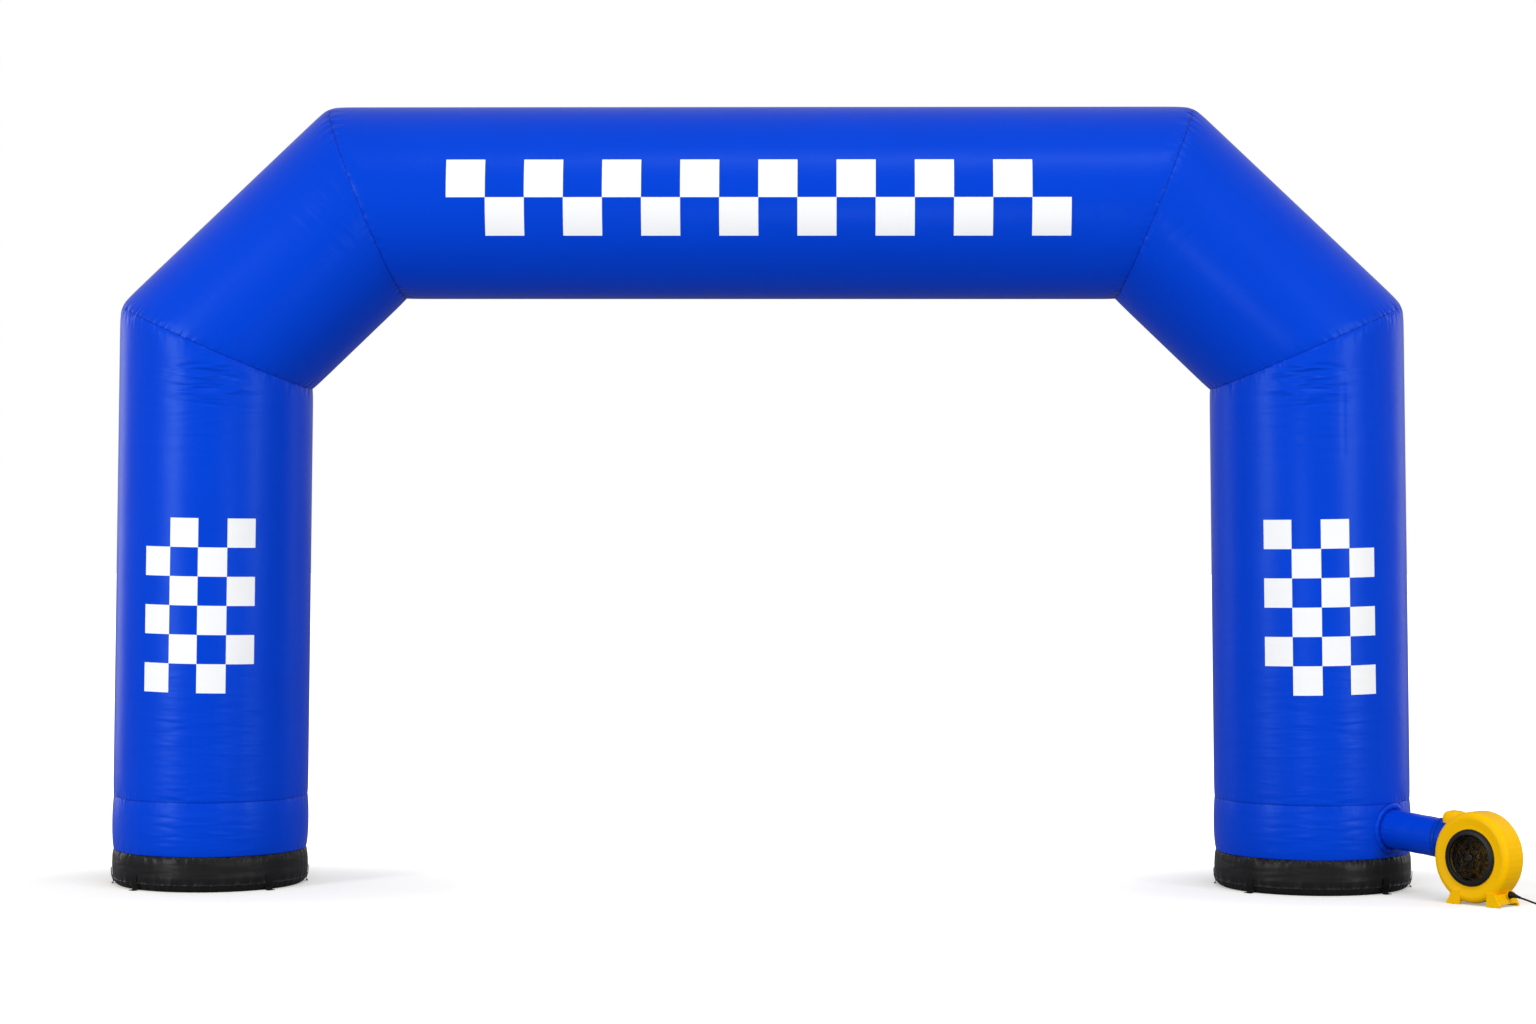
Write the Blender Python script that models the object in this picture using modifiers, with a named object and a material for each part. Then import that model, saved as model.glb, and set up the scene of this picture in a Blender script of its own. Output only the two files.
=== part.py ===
"""An inflatable arch with its blower, at rest on the floor.

Five air-filled tube sections meet in mitred seams: two legs, two diagonals and a beam. Each leg
stands on a blue lower band and a black base with webbing ties. A blue sleeve joins the right leg
to a moulded centrifugal blower, whose mains lead lies on the floor, its spare length coiled.

Metres, +Z up, the front towards -Y. The arch is laid out about the point on the floor midway
between its legs, and a root empty then moves that point to ARCH_PLACE, so that the origin lies
under the middle of the arch and blower together.
"""

import math
from typing import NamedTuple

import bmesh
import bpy
from mathutils import Matrix, Vector

NAME = "inflatable_arch"
ARCH_PLACE = (-0.195, 0.235, 0.0)
GAP = 0.0004  # between two pieces that meet

# The tube sections: where their axes bend, for the half at +X.
TUBE_RADIUS = 0.502
LEG_RADIUS = 0.5085
FOOT_X = 2.903
SHOULDER = (2.858, 2.817)
TOP_BEND = (2.060, 3.574)
RING_SEAM_Z = 0.464
BASE_TOP_Z = 0.184
ARCH_MIDDLE = Vector((0.0, 0.0, 1.5))

# The stitched seams draw the cloth in, most at the seam itself.
TUBE_SIDES = 48
SEAM_REACH = 0.028
SEAM_RINGS = (0.0, 0.012, 0.040, 0.110)
MITRE_OUTER_INSET = 0.013
MITRE_INNER_INSET = 0.003
RING_SEAM_INSET = 0.0025
BASE_SEAM_INSET = 0.007

# The black base's side, as (height, radius): flat underneath, rolled in, then slightly bulged.
BASE_PROFILE = (
    (0.0, 0.478),
    (0.006, 0.4905),
    (0.018, 0.5010),
    (0.038, 0.5080),
    (0.070, 0.5115),
    (0.110, 0.5120),
    (0.150, 0.5100),
    (0.172, 0.5065),
    (BASE_TOP_Z - GAP / 2, 0.5010),
)
BASE_X = FOOT_X - 0.0015

# The webbing ties: angle from the front towards the arch's middle, and how far the end reaches.
TIE_WIDTH = 0.044
TIE_THICKNESS = 0.003
TIES = (
    (-82.0, 0.004),
    (-40.0, 0.016),
    (46.0, 0.016),
    (98.0, 0.004),
    (145.0, 0.016),
    (-140.0, 0.016),
)
# The middle of the webbing, as (radius, height): down the base's side and onto the floor.
TIE_PATH = (
    (0.5145, 0.082),
    (0.5145, 0.066),
    (0.5125, 0.046),
    (0.5090, 0.030),
    (0.5060, 0.017),
    (0.5085, 0.007),
    (0.5150, TIE_THICKNESS / 2),
)

# The blower stands turned, its intake facing the front and the arch's middle.
BLOWER_PLACE = (3.580, -0.842, 0.0)
BLOWER_TURN = math.radians(-43.7)
DRUM_RADIUS = 0.2215
DRUM_STRETCH = 1.038  # the drum is a little taller than it is wide
DRUM_DEPTH = 0.167
DRUM_EDGE = 0.030
DRUM_Z = 0.238
DISH = 0.004
WALL = 0.010
INTAKE_RADIUS = 0.1175
BEZEL_RADII = (0.1168, 0.1448)
THROAT_X = -0.226
THROAT_END_X = -0.112
THROAT_Y = (0.068, 0.174)
THROAT_Z = (0.190, 0.457)
THROAT_EDGE = 0.036
OUTLET_Y = 0.120
OUTLET_Z = 0.312
NOZZLE_RADIUS = 0.052
NOZZLE_LENGTH = 0.060
FOOT_OUTER = {"left": -0.134, "right": 0.181}
SKIRT_TOP_Z = 0.066
RELIEF_Y = 0.095
RELIEF_Z = 0.060
RELIEF_LENGTH = 0.058
RELIEF_RADII = (0.020, 0.0075)

# The grille: rings about a hub, crossed by bars.
GRILLE_RADIUS = 0.1163
GRILLE_RINGS = 6
HUB_RADIUS = 0.020
RING_WIDTH = 0.0042
BAR_WIDTH = 0.0060
BARS = 4

# The inlet: a collar on the leg round a sleeve that runs to the blower's outlet.
INLET_Z = 0.333
INLET_ANGLE = 46.2  # on the leg, in degrees from the front towards the outside
SLEEVE_RADIUS = 0.1
CUFF_START = -0.055  # measured from the throat's end, out along the sleeve
CUFF_LENGTH = 0.040
COLLAR_RADIUS = 0.1330
COLLAR_THICKNESS = 0.009
STRAP_WIDTH = 0.022
STRAP_THICKNESS = 0.003

# The mains lead. The coil has three turns side by side, in two layers.
CORD_RADIUS = 0.005
COIL_CENTRE = (4.0287, -0.8817)
COIL_MIDDLE_RADIUS = 0.055
COIL_ACROSS = 3
COIL_LAYERS = 2
LEAD_ROUTE = (
    (3.8162, -0.9364, 0.0508),
    (3.8427, -0.9587, 0.0430),
    (3.8687, -0.9707, 0.0335),
    (3.8967, -0.9787, 0.0243),
    (3.9267, -0.9827, 0.0160),
    (3.9567, -0.9817, 0.0098),
    (3.9867, -0.9757, 0.0060),
    (4.0127, -0.9662, 0.0050),
    (4.0252, -0.9602, 0.0050),
)
TAIL_ROUTE = (
    (4.0597, -0.9542, 0.0130),
    (4.0837, -0.9537, 0.0090),
    (4.1067, -0.9467, 0.0075),
    (4.1257, -0.9327, 0.0105),
    (4.1362, -0.9117, 0.0165),
    (4.1377, -0.8917, 0.0185),
)
PLUG_PLACE = (4.1377, -0.8909, 0.0185)
PIN_SPACING = 0.019
PIN_RADIUS = 0.0024
PIN_LENGTH = 0.019

BLUE = (0.003, 0.040, 0.600)
DEEP_BLUE = (0.003, 0.050, 0.380)
BLACK = (0.016, 0.016, 0.017)
YELLOW = (0.870, 0.510, 0.012)
STEEL = (0.700, 0.690, 0.660)


class Seam(NamedTuple):
    """The plane that a tube section ends in, and how far it draws the cloth in."""

    normal: Vector
    outer_inset: float
    inner_inset: float


def clear_scene():
    """Removes whatever the file starts with."""
    for item in list(bpy.data.objects):
        bpy.data.objects.remove(item, do_unlink=True)


def make_collection(name, hidden=False):
    """A collection in the scene; a hidden one holds cutters and other helpers."""
    made = bpy.data.collections.new(name)
    bpy.context.scene.collection.children.link(made)
    made.hide_render = hidden
    return made


def make_material(name, colour, roughness, metallic=0.0):
    """A Principled material of one colour."""
    look = bpy.data.materials.new(name)
    look.use_nodes = True
    shader = look.node_tree.nodes["Principled BSDF"]
    shader.inputs["Base Color"].default_value = (*colour, 1.0)
    shader.inputs["Roughness"].default_value = roughness
    shader.inputs["Metallic"].default_value = metallic
    return look


def make_empty(name, parent, matrix):
    """An empty that places the pieces parented to it."""
    empty = bpy.data.objects.new(name, None)
    empty.parent = parent
    empty.matrix_local = matrix
    bpy.context.scene.collection.objects.link(empty)
    return empty


def add_object(name, data, home, parent, look=None, matrix=None):
    """Links an object, as a piece with its material, or as a helper without one."""
    made = bpy.data.objects.new(name, data)
    home.objects.link(made)
    made.parent = parent
    made.matrix_local = matrix or Matrix.Identity(4)
    if look:
        data.materials.append(look)
    else:
        made.hide_render = True
        made.display_type = "WIRE"
    return made


def mesh_from(bm, name):
    """Turns a bmesh into a mesh shaded smooth but for its sharp edges."""
    bm.normal_update()
    bmesh.ops.recalc_face_normals(bm, faces=bm.faces)
    mesh = bpy.data.meshes.new(name)
    bm.to_mesh(mesh)
    bm.free()
    mesh.shade_smooth()
    mesh.set_sharp_from_angle(angle=math.radians(35.0))
    return mesh


def ringed_cylinder(sides, rings):
    """A capped unit cylinder along Z, with its rings of points at the heights 0, 1, 2 and so on."""
    bm = bmesh.new()
    bmesh.ops.create_cone(
        bm, cap_ends=True, segments=sides, radius1=1.0, radius2=1.0, depth=rings - 1
    )
    bmesh.ops.translate(bm, verts=bm.verts, vec=(0.0, 0.0, (rings - 1) / 2))
    for height in range(1, rings - 1):
        everything = [*bm.verts, *bm.edges, *bm.faces]
        bmesh.ops.bisect_plane(
            bm, geom=everything, plane_co=(0.0, 0.0, height), plane_no=(0.0, 0.0, 1.0)
        )
    return bm


def arc(centre, radius, first, last, count):
    """Points (radius, height) along an arc, between two angles in degrees."""
    turns = [math.radians(first + (last - first) * i / (count - 1)) for i in range(count)]
    return [(centre[0] + radius * math.cos(a), centre[1] + radius * math.sin(a)) for a in turns]


def turned(name, profile, home, parent, look=None, matrix=None, steps=TUBE_SIDES, closed=False):
    """A profile of (radius, height) points, down its outer side, turned about the local Z axis."""
    mesh = bpy.data.meshes.new(name)
    last = len(profile) - 1
    edges = [(i, i + 1) for i in range(last)] + ([(last, 0)] if closed else [])
    mesh.from_pydata([(radius, 0.0, height) for radius, height in profile], edges, [])
    made = add_object(name, mesh, home, parent, look, matrix)
    screw = made.modifiers.new("Screw", "SCREW")
    screw.axis = "Z"
    screw.steps = steps
    screw.render_steps = steps
    screw.use_merge_vertices = True
    screw.merge_threshold = 0.0001
    screw.use_smooth_shade = True
    return made


def boolean(piece, operation, other):
    """Joins a helper to a piece, cuts it away, or keeps only what lies inside it."""
    modifier = piece.modifiers.new(f"{operation.title()} {other.name}", "BOOLEAN")
    modifier.operation = operation
    modifier.solver = "EXACT"
    modifier.object = other


def inflated_tube(name, start, end, radius, seams, parts, root, look):
    """A straight tube section between two seams, each ring of it lying in its seam's plane."""
    start, end = Vector((start[0], 0.0, start[1])), Vector((end[0], 0.0, end[1]))
    along = (end - start).normalized()
    outward = Vector((-along.z, 0.0, along.x))
    if outward.dot((start + end) / 2 - ARCH_MIDDLE) < 0.0:
        outward.negate()
    across = along.cross(outward)
    length = (end - start).length
    slopes = [-outward.dot(seam.normal) / along.dot(seam.normal) for seam in seams]
    rings = [(0, distance) for distance in SEAM_RINGS]
    rings += [(1, distance) for distance in reversed(SEAM_RINGS)]
    bm = ringed_cylinder(TUBE_SIDES, len(rings))
    for vert in bm.verts:
        which, distance = rings[round(vert.co.z)]
        seam = seams[which]
        outer_share = (1.0 + vert.co.x) / 2
        inset = seam.inner_inset + (seam.outer_inset - seam.inner_inset) * outer_share
        here = radius - inset * math.exp(-distance / SEAM_REACH)
        out, aside = here * vert.co.x, here * vert.co.y
        from_seam = distance + GAP / 2
        height = slopes[which] * out + (length - from_seam if which else from_seam)
        vert.co = start + along * height + outward * out + across * aside
    return add_object(name, mesh_from(bm, name), parts, root, look)


def direction(start, end):
    """The unit vector from one (x, z) point of the arch's outline to another."""
    return Vector((end[0] - start[0], 0.0, end[1] - start[1])).normalized()


def build_tubes(parts, root, blue):
    """The beam, the diagonals, the legs and the lower bands."""
    level = Vector((0.0, 0.0, 1.0))
    ring_seam = Seam(level, RING_SEAM_INSET, RING_SEAM_INSET)
    base_seam = Seam(level, BASE_SEAM_INSET, BASE_SEAM_INSET)
    bends = {}
    for side, sign in (("left", -1.0), ("right", 1.0)):
        foot = (sign * FOOT_X, 0.0)
        shoulder = (sign * SHOULDER[0], SHOULDER[1])
        bend = (sign * TOP_BEND[0], TOP_BEND[1])
        lean = (shoulder[0] - foot[0]) / SHOULDER[1]
        band_top = (foot[0] + lean * RING_SEAM_Z, RING_SEAM_Z)
        band_foot = (foot[0] + lean * BASE_TOP_Z, BASE_TOP_Z)
        up_leg, up_diagonal = direction(foot, shoulder), direction(shoulder, bend)
        inwards = Vector((-sign, 0.0, 0.0))
        low = Seam(up_leg + up_diagonal, MITRE_OUTER_INSET, MITRE_INNER_INSET)
        high = Seam(up_diagonal + inwards, MITRE_OUTER_INSET, MITRE_INNER_INSET)
        bends[side] = (bend, high)
        sections = (
            (f"lower_band_{side}", band_foot, band_top, LEG_RADIUS, (base_seam, ring_seam)),
            (f"leg_{side}", band_top, shoulder, LEG_RADIUS, (ring_seam, low)),
            (f"diagonal_{side}", shoulder, bend, TUBE_RADIUS, (low, high)),
        )
        for name, start, end, radius, seams in sections:
            inflated_tube(name, start, end, radius, seams, parts, root, blue)
    start, left_seam = bends["left"]
    end, right_seam = bends["right"]
    inflated_tube("beam", start, end, TUBE_RADIUS, (left_seam, right_seam), parts, root, blue)


def build_tie(name, side, angle, reach, parts, root, look):
    """A strip of webbing sewn to the base's side, then down to the floor and out along it."""
    path = (*TIE_PATH, (TIE_PATH[-1][0] + reach, TIE_PATH[-1][1]))
    bm = bmesh.new()
    bmesh.ops.create_grid(bm, x_segments=1, y_segments=len(path) - 1, size=0.5)
    for vert in bm.verts:
        step = round((vert.co.y + 0.5) * (len(path) - 1))
        vert.co = Vector((path[step][0], vert.co.x * TIE_WIDTH, path[step][1]))
    bmesh.ops.recalc_face_normals(bm, faces=bm.faces)
    mesh = bpy.data.meshes.new(name)
    bm.to_mesh(mesh)
    bm.free()
    towards_middle = -1.0 if side == "right" else 1.0
    turn = math.radians(towards_middle * angle - 90.0)
    foot = Matrix.Translation((BASE_X * -towards_middle, 0.0, 0.0))
    matrix = foot @ Matrix.Rotation(turn, 4, "Z")
    tie = add_object(name, mesh, parts, root, look, matrix)
    solidify = tie.modifiers.new("Webbing", "SOLIDIFY")
    solidify.thickness = TIE_THICKNESS
    solidify.offset = 0.0
    solidify.use_even_offset = True


def build_bases(parts, root, look):
    """The black base under each leg, and its webbing ties."""
    profile = [(0.0, BASE_PROFILE[-1][0])]
    profile += [(radius, height) for height, radius in reversed(BASE_PROFILE)]
    profile += [(0.0, 0.0)]
    for side, sign in (("left", -1.0), ("right", 1.0)):
        place = Matrix.Translation((sign * BASE_X, 0.0, 0.0))
        turned(f"base_{side}", profile, parts, root, look, place)
        for number, (angle, reach) in enumerate(TIES, start=1):
            build_tie(f"tie_{side}_{number}", side, angle, reach, parts, root, look)


def solid_box(name, low, high, cutters, parent, edge=0.0, segments=3):
    """A helper box between two corners, its edges rounded if edge is given."""
    bm = bmesh.new()
    bmesh.ops.create_cube(bm, size=1.0)
    size = Vector(high) - Vector(low)
    middle = (Vector(high) + Vector(low)) / 2
    bmesh.ops.scale(bm, vec=size, verts=bm.verts)
    bmesh.ops.translate(bm, vec=middle, verts=bm.verts)
    if edge:
        bmesh.ops.bevel(
            bm, geom=bm.edges, offset=edge, segments=segments, profile=0.5, affect="EDGES"
        )
    return add_object(name, mesh_from(bm, name), cutters, parent)


def solid_rod(name, radius, start, end, cutters, parent, sides=32):
    """A helper cylinder between two points."""
    start, end = Vector(start), Vector(end)
    bm = bmesh.new()
    bmesh.ops.create_cone(
        bm,
        cap_ends=True,
        segments=sides,
        radius1=radius,
        radius2=radius,
        depth=(end - start).length,
    )
    turn = (end - start).to_track_quat("Z", "Y").to_matrix().to_4x4()
    bmesh.ops.transform(bm, matrix=Matrix.Translation((start + end) / 2) @ turn, verts=bm.verts)
    return add_object(name, mesh_from(bm, name), cutters, parent)


def extruded(name, outline, low_y, high_y, cutters, parent):
    """A helper prism: an (x, z) outline carried from one y to another."""
    bm = bmesh.new()
    face = bm.faces.new([bm.verts.new((x, low_y, z)) for x, z in outline])
    swept = bmesh.ops.extrude_face_region(bm, geom=[face])["geom"]
    moved = [item for item in swept if isinstance(item, bmesh.types.BMVert)]
    bmesh.ops.translate(bm, vec=(0.0, high_y - low_y, 0.0), verts=moved)
    return add_object(name, mesh_from(bm, name), cutters, parent)


def drum_profile():
    """The drum's outside, from the dished face round both rolled edges to the flat back."""
    inner = DRUM_RADIUS - DRUM_EDGE
    front = arc((inner, -DRUM_EDGE), DRUM_EDGE, 90.0, 0.0, 5)
    back = arc((inner, DRUM_EDGE - DRUM_DEPTH), DRUM_EDGE, 0.0, -90.0, 5)
    face = [(0.0, -DISH), (BEZEL_RADII[1] + 0.012, -DISH), (inner - 0.010, -0.001)]
    return [*face, *front, *back, (0.0, -DRUM_DEPTH)]


def cavity_profile():
    """The hollow behind the intake, open through it."""
    radius = DRUM_RADIUS - WALL
    return [
        (0.0, 0.02),
        (INTAKE_RADIUS, 0.02),
        (INTAKE_RADIUS, -DISH - WALL),
        (radius - 0.012, -DISH - WALL),
        (radius, -DISH - WALL - 0.012),
        (radius, WALL - DRUM_DEPTH),
        (0.0, WALL - DRUM_DEPTH),
    ]


def foot_outline(outer):
    """A foot seen from the front, flared outwards to the floor, with a notch in its sole."""
    side = math.copysign(1.0, outer)
    inner = outer - side * 0.078
    notch = outer - side * 0.042
    points = [
        (inner, 0.0),
        (notch - side * 0.005, 0.0),
        (notch, 0.006),
        (notch + side * 0.005, 0.0),
        (outer, 0.0),
        (outer, 0.010),
        (outer - side * 0.034, SKIRT_TOP_Z + 0.004),
        (inner, SKIRT_TOP_Z + 0.004),
    ]
    return points


def skirt_outline(outer):
    """The panel between a front and a rear foot, seen from the front."""
    side = math.copysign(1.0, outer)
    return [
        (outer - side * 0.070, 0.014),
        (outer - side * 0.005, 0.014),
        (outer - side * 0.016, SKIRT_TOP_Z),
        (outer - side * 0.060, SKIRT_TOP_Z),
    ]


def build_housing(parts, cutters, blower, look):
    """The moulded housing: drum, discharge throat, outlet nozzle, feet and skirts."""
    facing = Matrix.Translation((0.0, 0.0, DRUM_Z)) @ Matrix.Rotation(math.pi / 2, 4, "X")
    stretched = facing @ Matrix.Diagonal((1.0, DRUM_STRETCH, 1.0, 1.0))
    housing = turned("blower_housing", drum_profile(), parts, blower, look, stretched)
    throat_low = (THROAT_X, THROAT_Y[0], THROAT_Z[0])
    throat_high = (THROAT_END_X, THROAT_Y[1], THROAT_Z[1])
    joined = [solid_box("throat", throat_low, throat_high, cutters, blower, THROAT_EDGE)]
    outlet = Vector((THROAT_X, OUTLET_Y, OUTLET_Z))
    nozzle_end = outlet - Vector((NOZZLE_LENGTH, 0.0, 0.0))
    nozzle_start = outlet + Vector((0.05, 0.0, 0.0))
    joined.append(solid_rod("nozzle", NOZZLE_RADIUS, nozzle_start, nozzle_end, cutters, blower))
    for side, outer in FOOT_OUTER.items():
        foot, skirt = foot_outline(outer), skirt_outline(outer)
        joined.append(extruded(f"skirt_{side}", skirt, 0.008, DRUM_DEPTH - 0.008, cutters, blower))
        for end, low_y, high_y in (
            ("front", -0.004, 0.012),
            ("rear", DRUM_DEPTH - 0.010, DRUM_DEPTH + 0.006),
        ):
            joined.append(extruded(f"foot_{side}_{end}", foot, low_y, high_y, cutters, blower))
    boss_end = (FOOT_OUTER["right"] - 0.004, RELIEF_Y, RELIEF_Z)
    boss_start = (FOOT_OUTER["right"] - 0.050, RELIEF_Y, RELIEF_Z)
    joined.append(solid_rod("lead_boss", 0.023, boss_start, boss_end, cutters, blower, 24))
    for helper in joined:
        boolean(housing, "UNION", helper)
    cavity = turned("cavity", cavity_profile(), cutters, blower, None, facing)
    boolean(housing, "DIFFERENCE", cavity)
    return facing


def build_grille(parts, cutters, blower, facing, look):
    """The raised ring round the intake, and the grille of rings and bars inside it."""
    inner, outer = BEZEL_RADII
    ring = [
        (inner, GAP - DISH),
        (inner, 0.0105),
        (inner + 0.004, 0.0120),
        (outer - 0.009, 0.0090),
        (outer - 0.002, 0.0050),
        (outer, GAP - DISH),
    ]
    turned("blower_bezel", ring, parts, blower, look, facing, closed=True)
    hub = [(0.0, 0.005), (0.016, 0.0045), (HUB_RADIUS, 0.0025), (HUB_RADIUS, -0.005), (0.0, -0.005)]
    grille = turned("blower_grille", hub, parts, blower, look, facing, 16)
    step = (GRILLE_RADIUS - RING_WIDTH / 2 - HUB_RADIUS) / GRILLE_RINGS
    for number in range(1, GRILLE_RINGS + 1):
        middle = HUB_RADIUS + step * number
        low, high = middle - RING_WIDTH / 2, middle + RING_WIDTH / 2
        square = [(low, -0.003), (low, 0.003), (high, 0.003), (high, -0.003)]
        name = f"grille_ring_{number}"
        helper = turned(name, square, cutters, blower, None, facing, 28, closed=True)
        boolean(grille, "UNION", helper)
    for number in range(BARS):
        reach = GRILLE_RADIUS - 0.0015
        low, high = (-reach, -0.0020, -BAR_WIDTH / 2), (reach, 0.0025, BAR_WIDTH / 2)
        bar = solid_box(f"grille_bar_{number + 1}", low, high, cutters, blower)
        turn = Matrix.Rotation(math.pi * number / BARS, 4, "Y")
        bar.matrix_local = Matrix.Translation((0.0, 0.0, DRUM_Z)) @ turn
        boolean(grille, "UNION", bar)


def smooth_route(points, spacing):
    """Evenly spaced points on one smooth curve through a route's own points."""
    points = [Vector(point) for point in points]
    padded = [2 * points[0] - points[1], *points, 2 * points[-1] - points[-2]]
    fine = []
    for i in range(1, len(padded) - 2):
        before, here, there, after = padded[i - 1 : i + 3]
        for k in range(20):
            t = k / 20
            fine.append(
                0.5
                * (
                    2 * here
                    + (there - before) * t
                    + (2 * before - 5 * here + 4 * there - after) * t**2
                    + (3 * here - before - 3 * there + after) * t**3
                )
            )
    fine.append(points[-1])
    travelled = [0.0]
    for before, here in zip(fine, fine[1:]):
        travelled.append(travelled[-1] + (here - before).length)
    count = max(2, round(travelled[-1] / spacing) + 1)
    even, at = [], 0
    for i in range(count):
        wanted = travelled[-1] * i / (count - 1)
        while at < len(fine) - 2 and travelled[at + 1] < wanted:
            at += 1
        share = (wanted - travelled[at]) / (travelled[at + 1] - travelled[at])
        even.append(fine[at].lerp(fine[at + 1], min(1.0, share)))
    return even


def tube(name, points, radii, parts, parent, look, resolution=2):
    """A round tube along a run of points, its radius given at each."""
    curve = bpy.data.curves.new(name, "CURVE")
    curve.dimensions = "3D"
    curve.bevel_depth = max(radii)
    curve.bevel_resolution = resolution
    curve.use_fill_caps = True
    spline = curve.splines.new("POLY")
    spline.points.add(len(points) - 1)
    for spot, point, radius in zip(spline.points, points, radii):
        spot.co = (*point, 1.0)
        spot.radius = radius / curve.bevel_depth
    return add_object(name, curve, parts, parent, look)


def build_lead(parts, root, blower, black, steel):
    """The strain relief, the mains lead with its coil, and the plug on its end."""
    start_x = FOOT_OUTER["right"] - 0.004 + GAP
    relief, radii = [], []
    for i in range(9):
        share = i / 8
        droop = 0.009 * share**2
        relief.append((start_x + RELIEF_LENGTH * share, RELIEF_Y, RELIEF_Z - droop))
        taper = min(1.0, 1.2 * share) ** 0.8
        radii.append(RELIEF_RADII[0] + (RELIEF_RADII[1] - RELIEF_RADII[0]) * taper)
    tube("blower_strain_relief", relief, radii, parts, blower, black)
    for name, route in (("cord_lead", LEAD_ROUTE), ("cord_tail", TAIL_ROUTE)):
        points = smooth_route(route, 2.2 * CORD_RADIUS * 2)
        tube(name, points, [CORD_RADIUS] * len(points), parts, root, black)
    width, height = CORD_RADIUS * COIL_ACROSS, CORD_RADIUS * 2 * COIL_LAYERS
    inner, outer = COIL_MIDDLE_RADIUS - width, COIL_MIDDLE_RADIUS + width
    ring = [
        (inner, 0.0),
        (inner, height - 0.003),
        (inner + 0.003, height),
        (outer - 0.003, height),
        (outer, height - 0.003),
        (outer, 0.0),
    ]
    centre = Matrix.Translation((*COIL_CENTRE, 0.0))
    turned("cord_coil", ring, parts, root, black, centre, 32, closed=True)
    pointing = Matrix.Translation(PLUG_PLACE) @ Matrix.Rotation(-math.pi / 2, 4, "X")
    body = [
        (0.0, 0.058),
        (0.0165, 0.058),
        (0.0180, 0.0565),
        (0.0180, 0.040),
        (0.0150, 0.032),
        (0.0105, 0.026),
        (0.0080, 0.014),
        (0.0072, GAP),
        (0.0, GAP),
    ]
    turned("plug_body", body, parts, root, black, pointing, 24)
    for side, sign in (("left", -1.0), ("right", 1.0)):
        pin = [
            (0.0, 0.058 + GAP + PIN_LENGTH),
            (PIN_RADIUS - 0.001, 0.058 + GAP + PIN_LENGTH),
            (PIN_RADIUS, 0.058 + PIN_LENGTH - 0.001),
            (PIN_RADIUS, 0.058 + GAP),
            (0.0, 0.058 + GAP),
        ]
        aside = Matrix.Translation((sign * PIN_SPACING / 2, 0.0, 0.0))
        turned(f"plug_pin_{side}", pin, parts, root, steel, pointing @ aside, 12)


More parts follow.
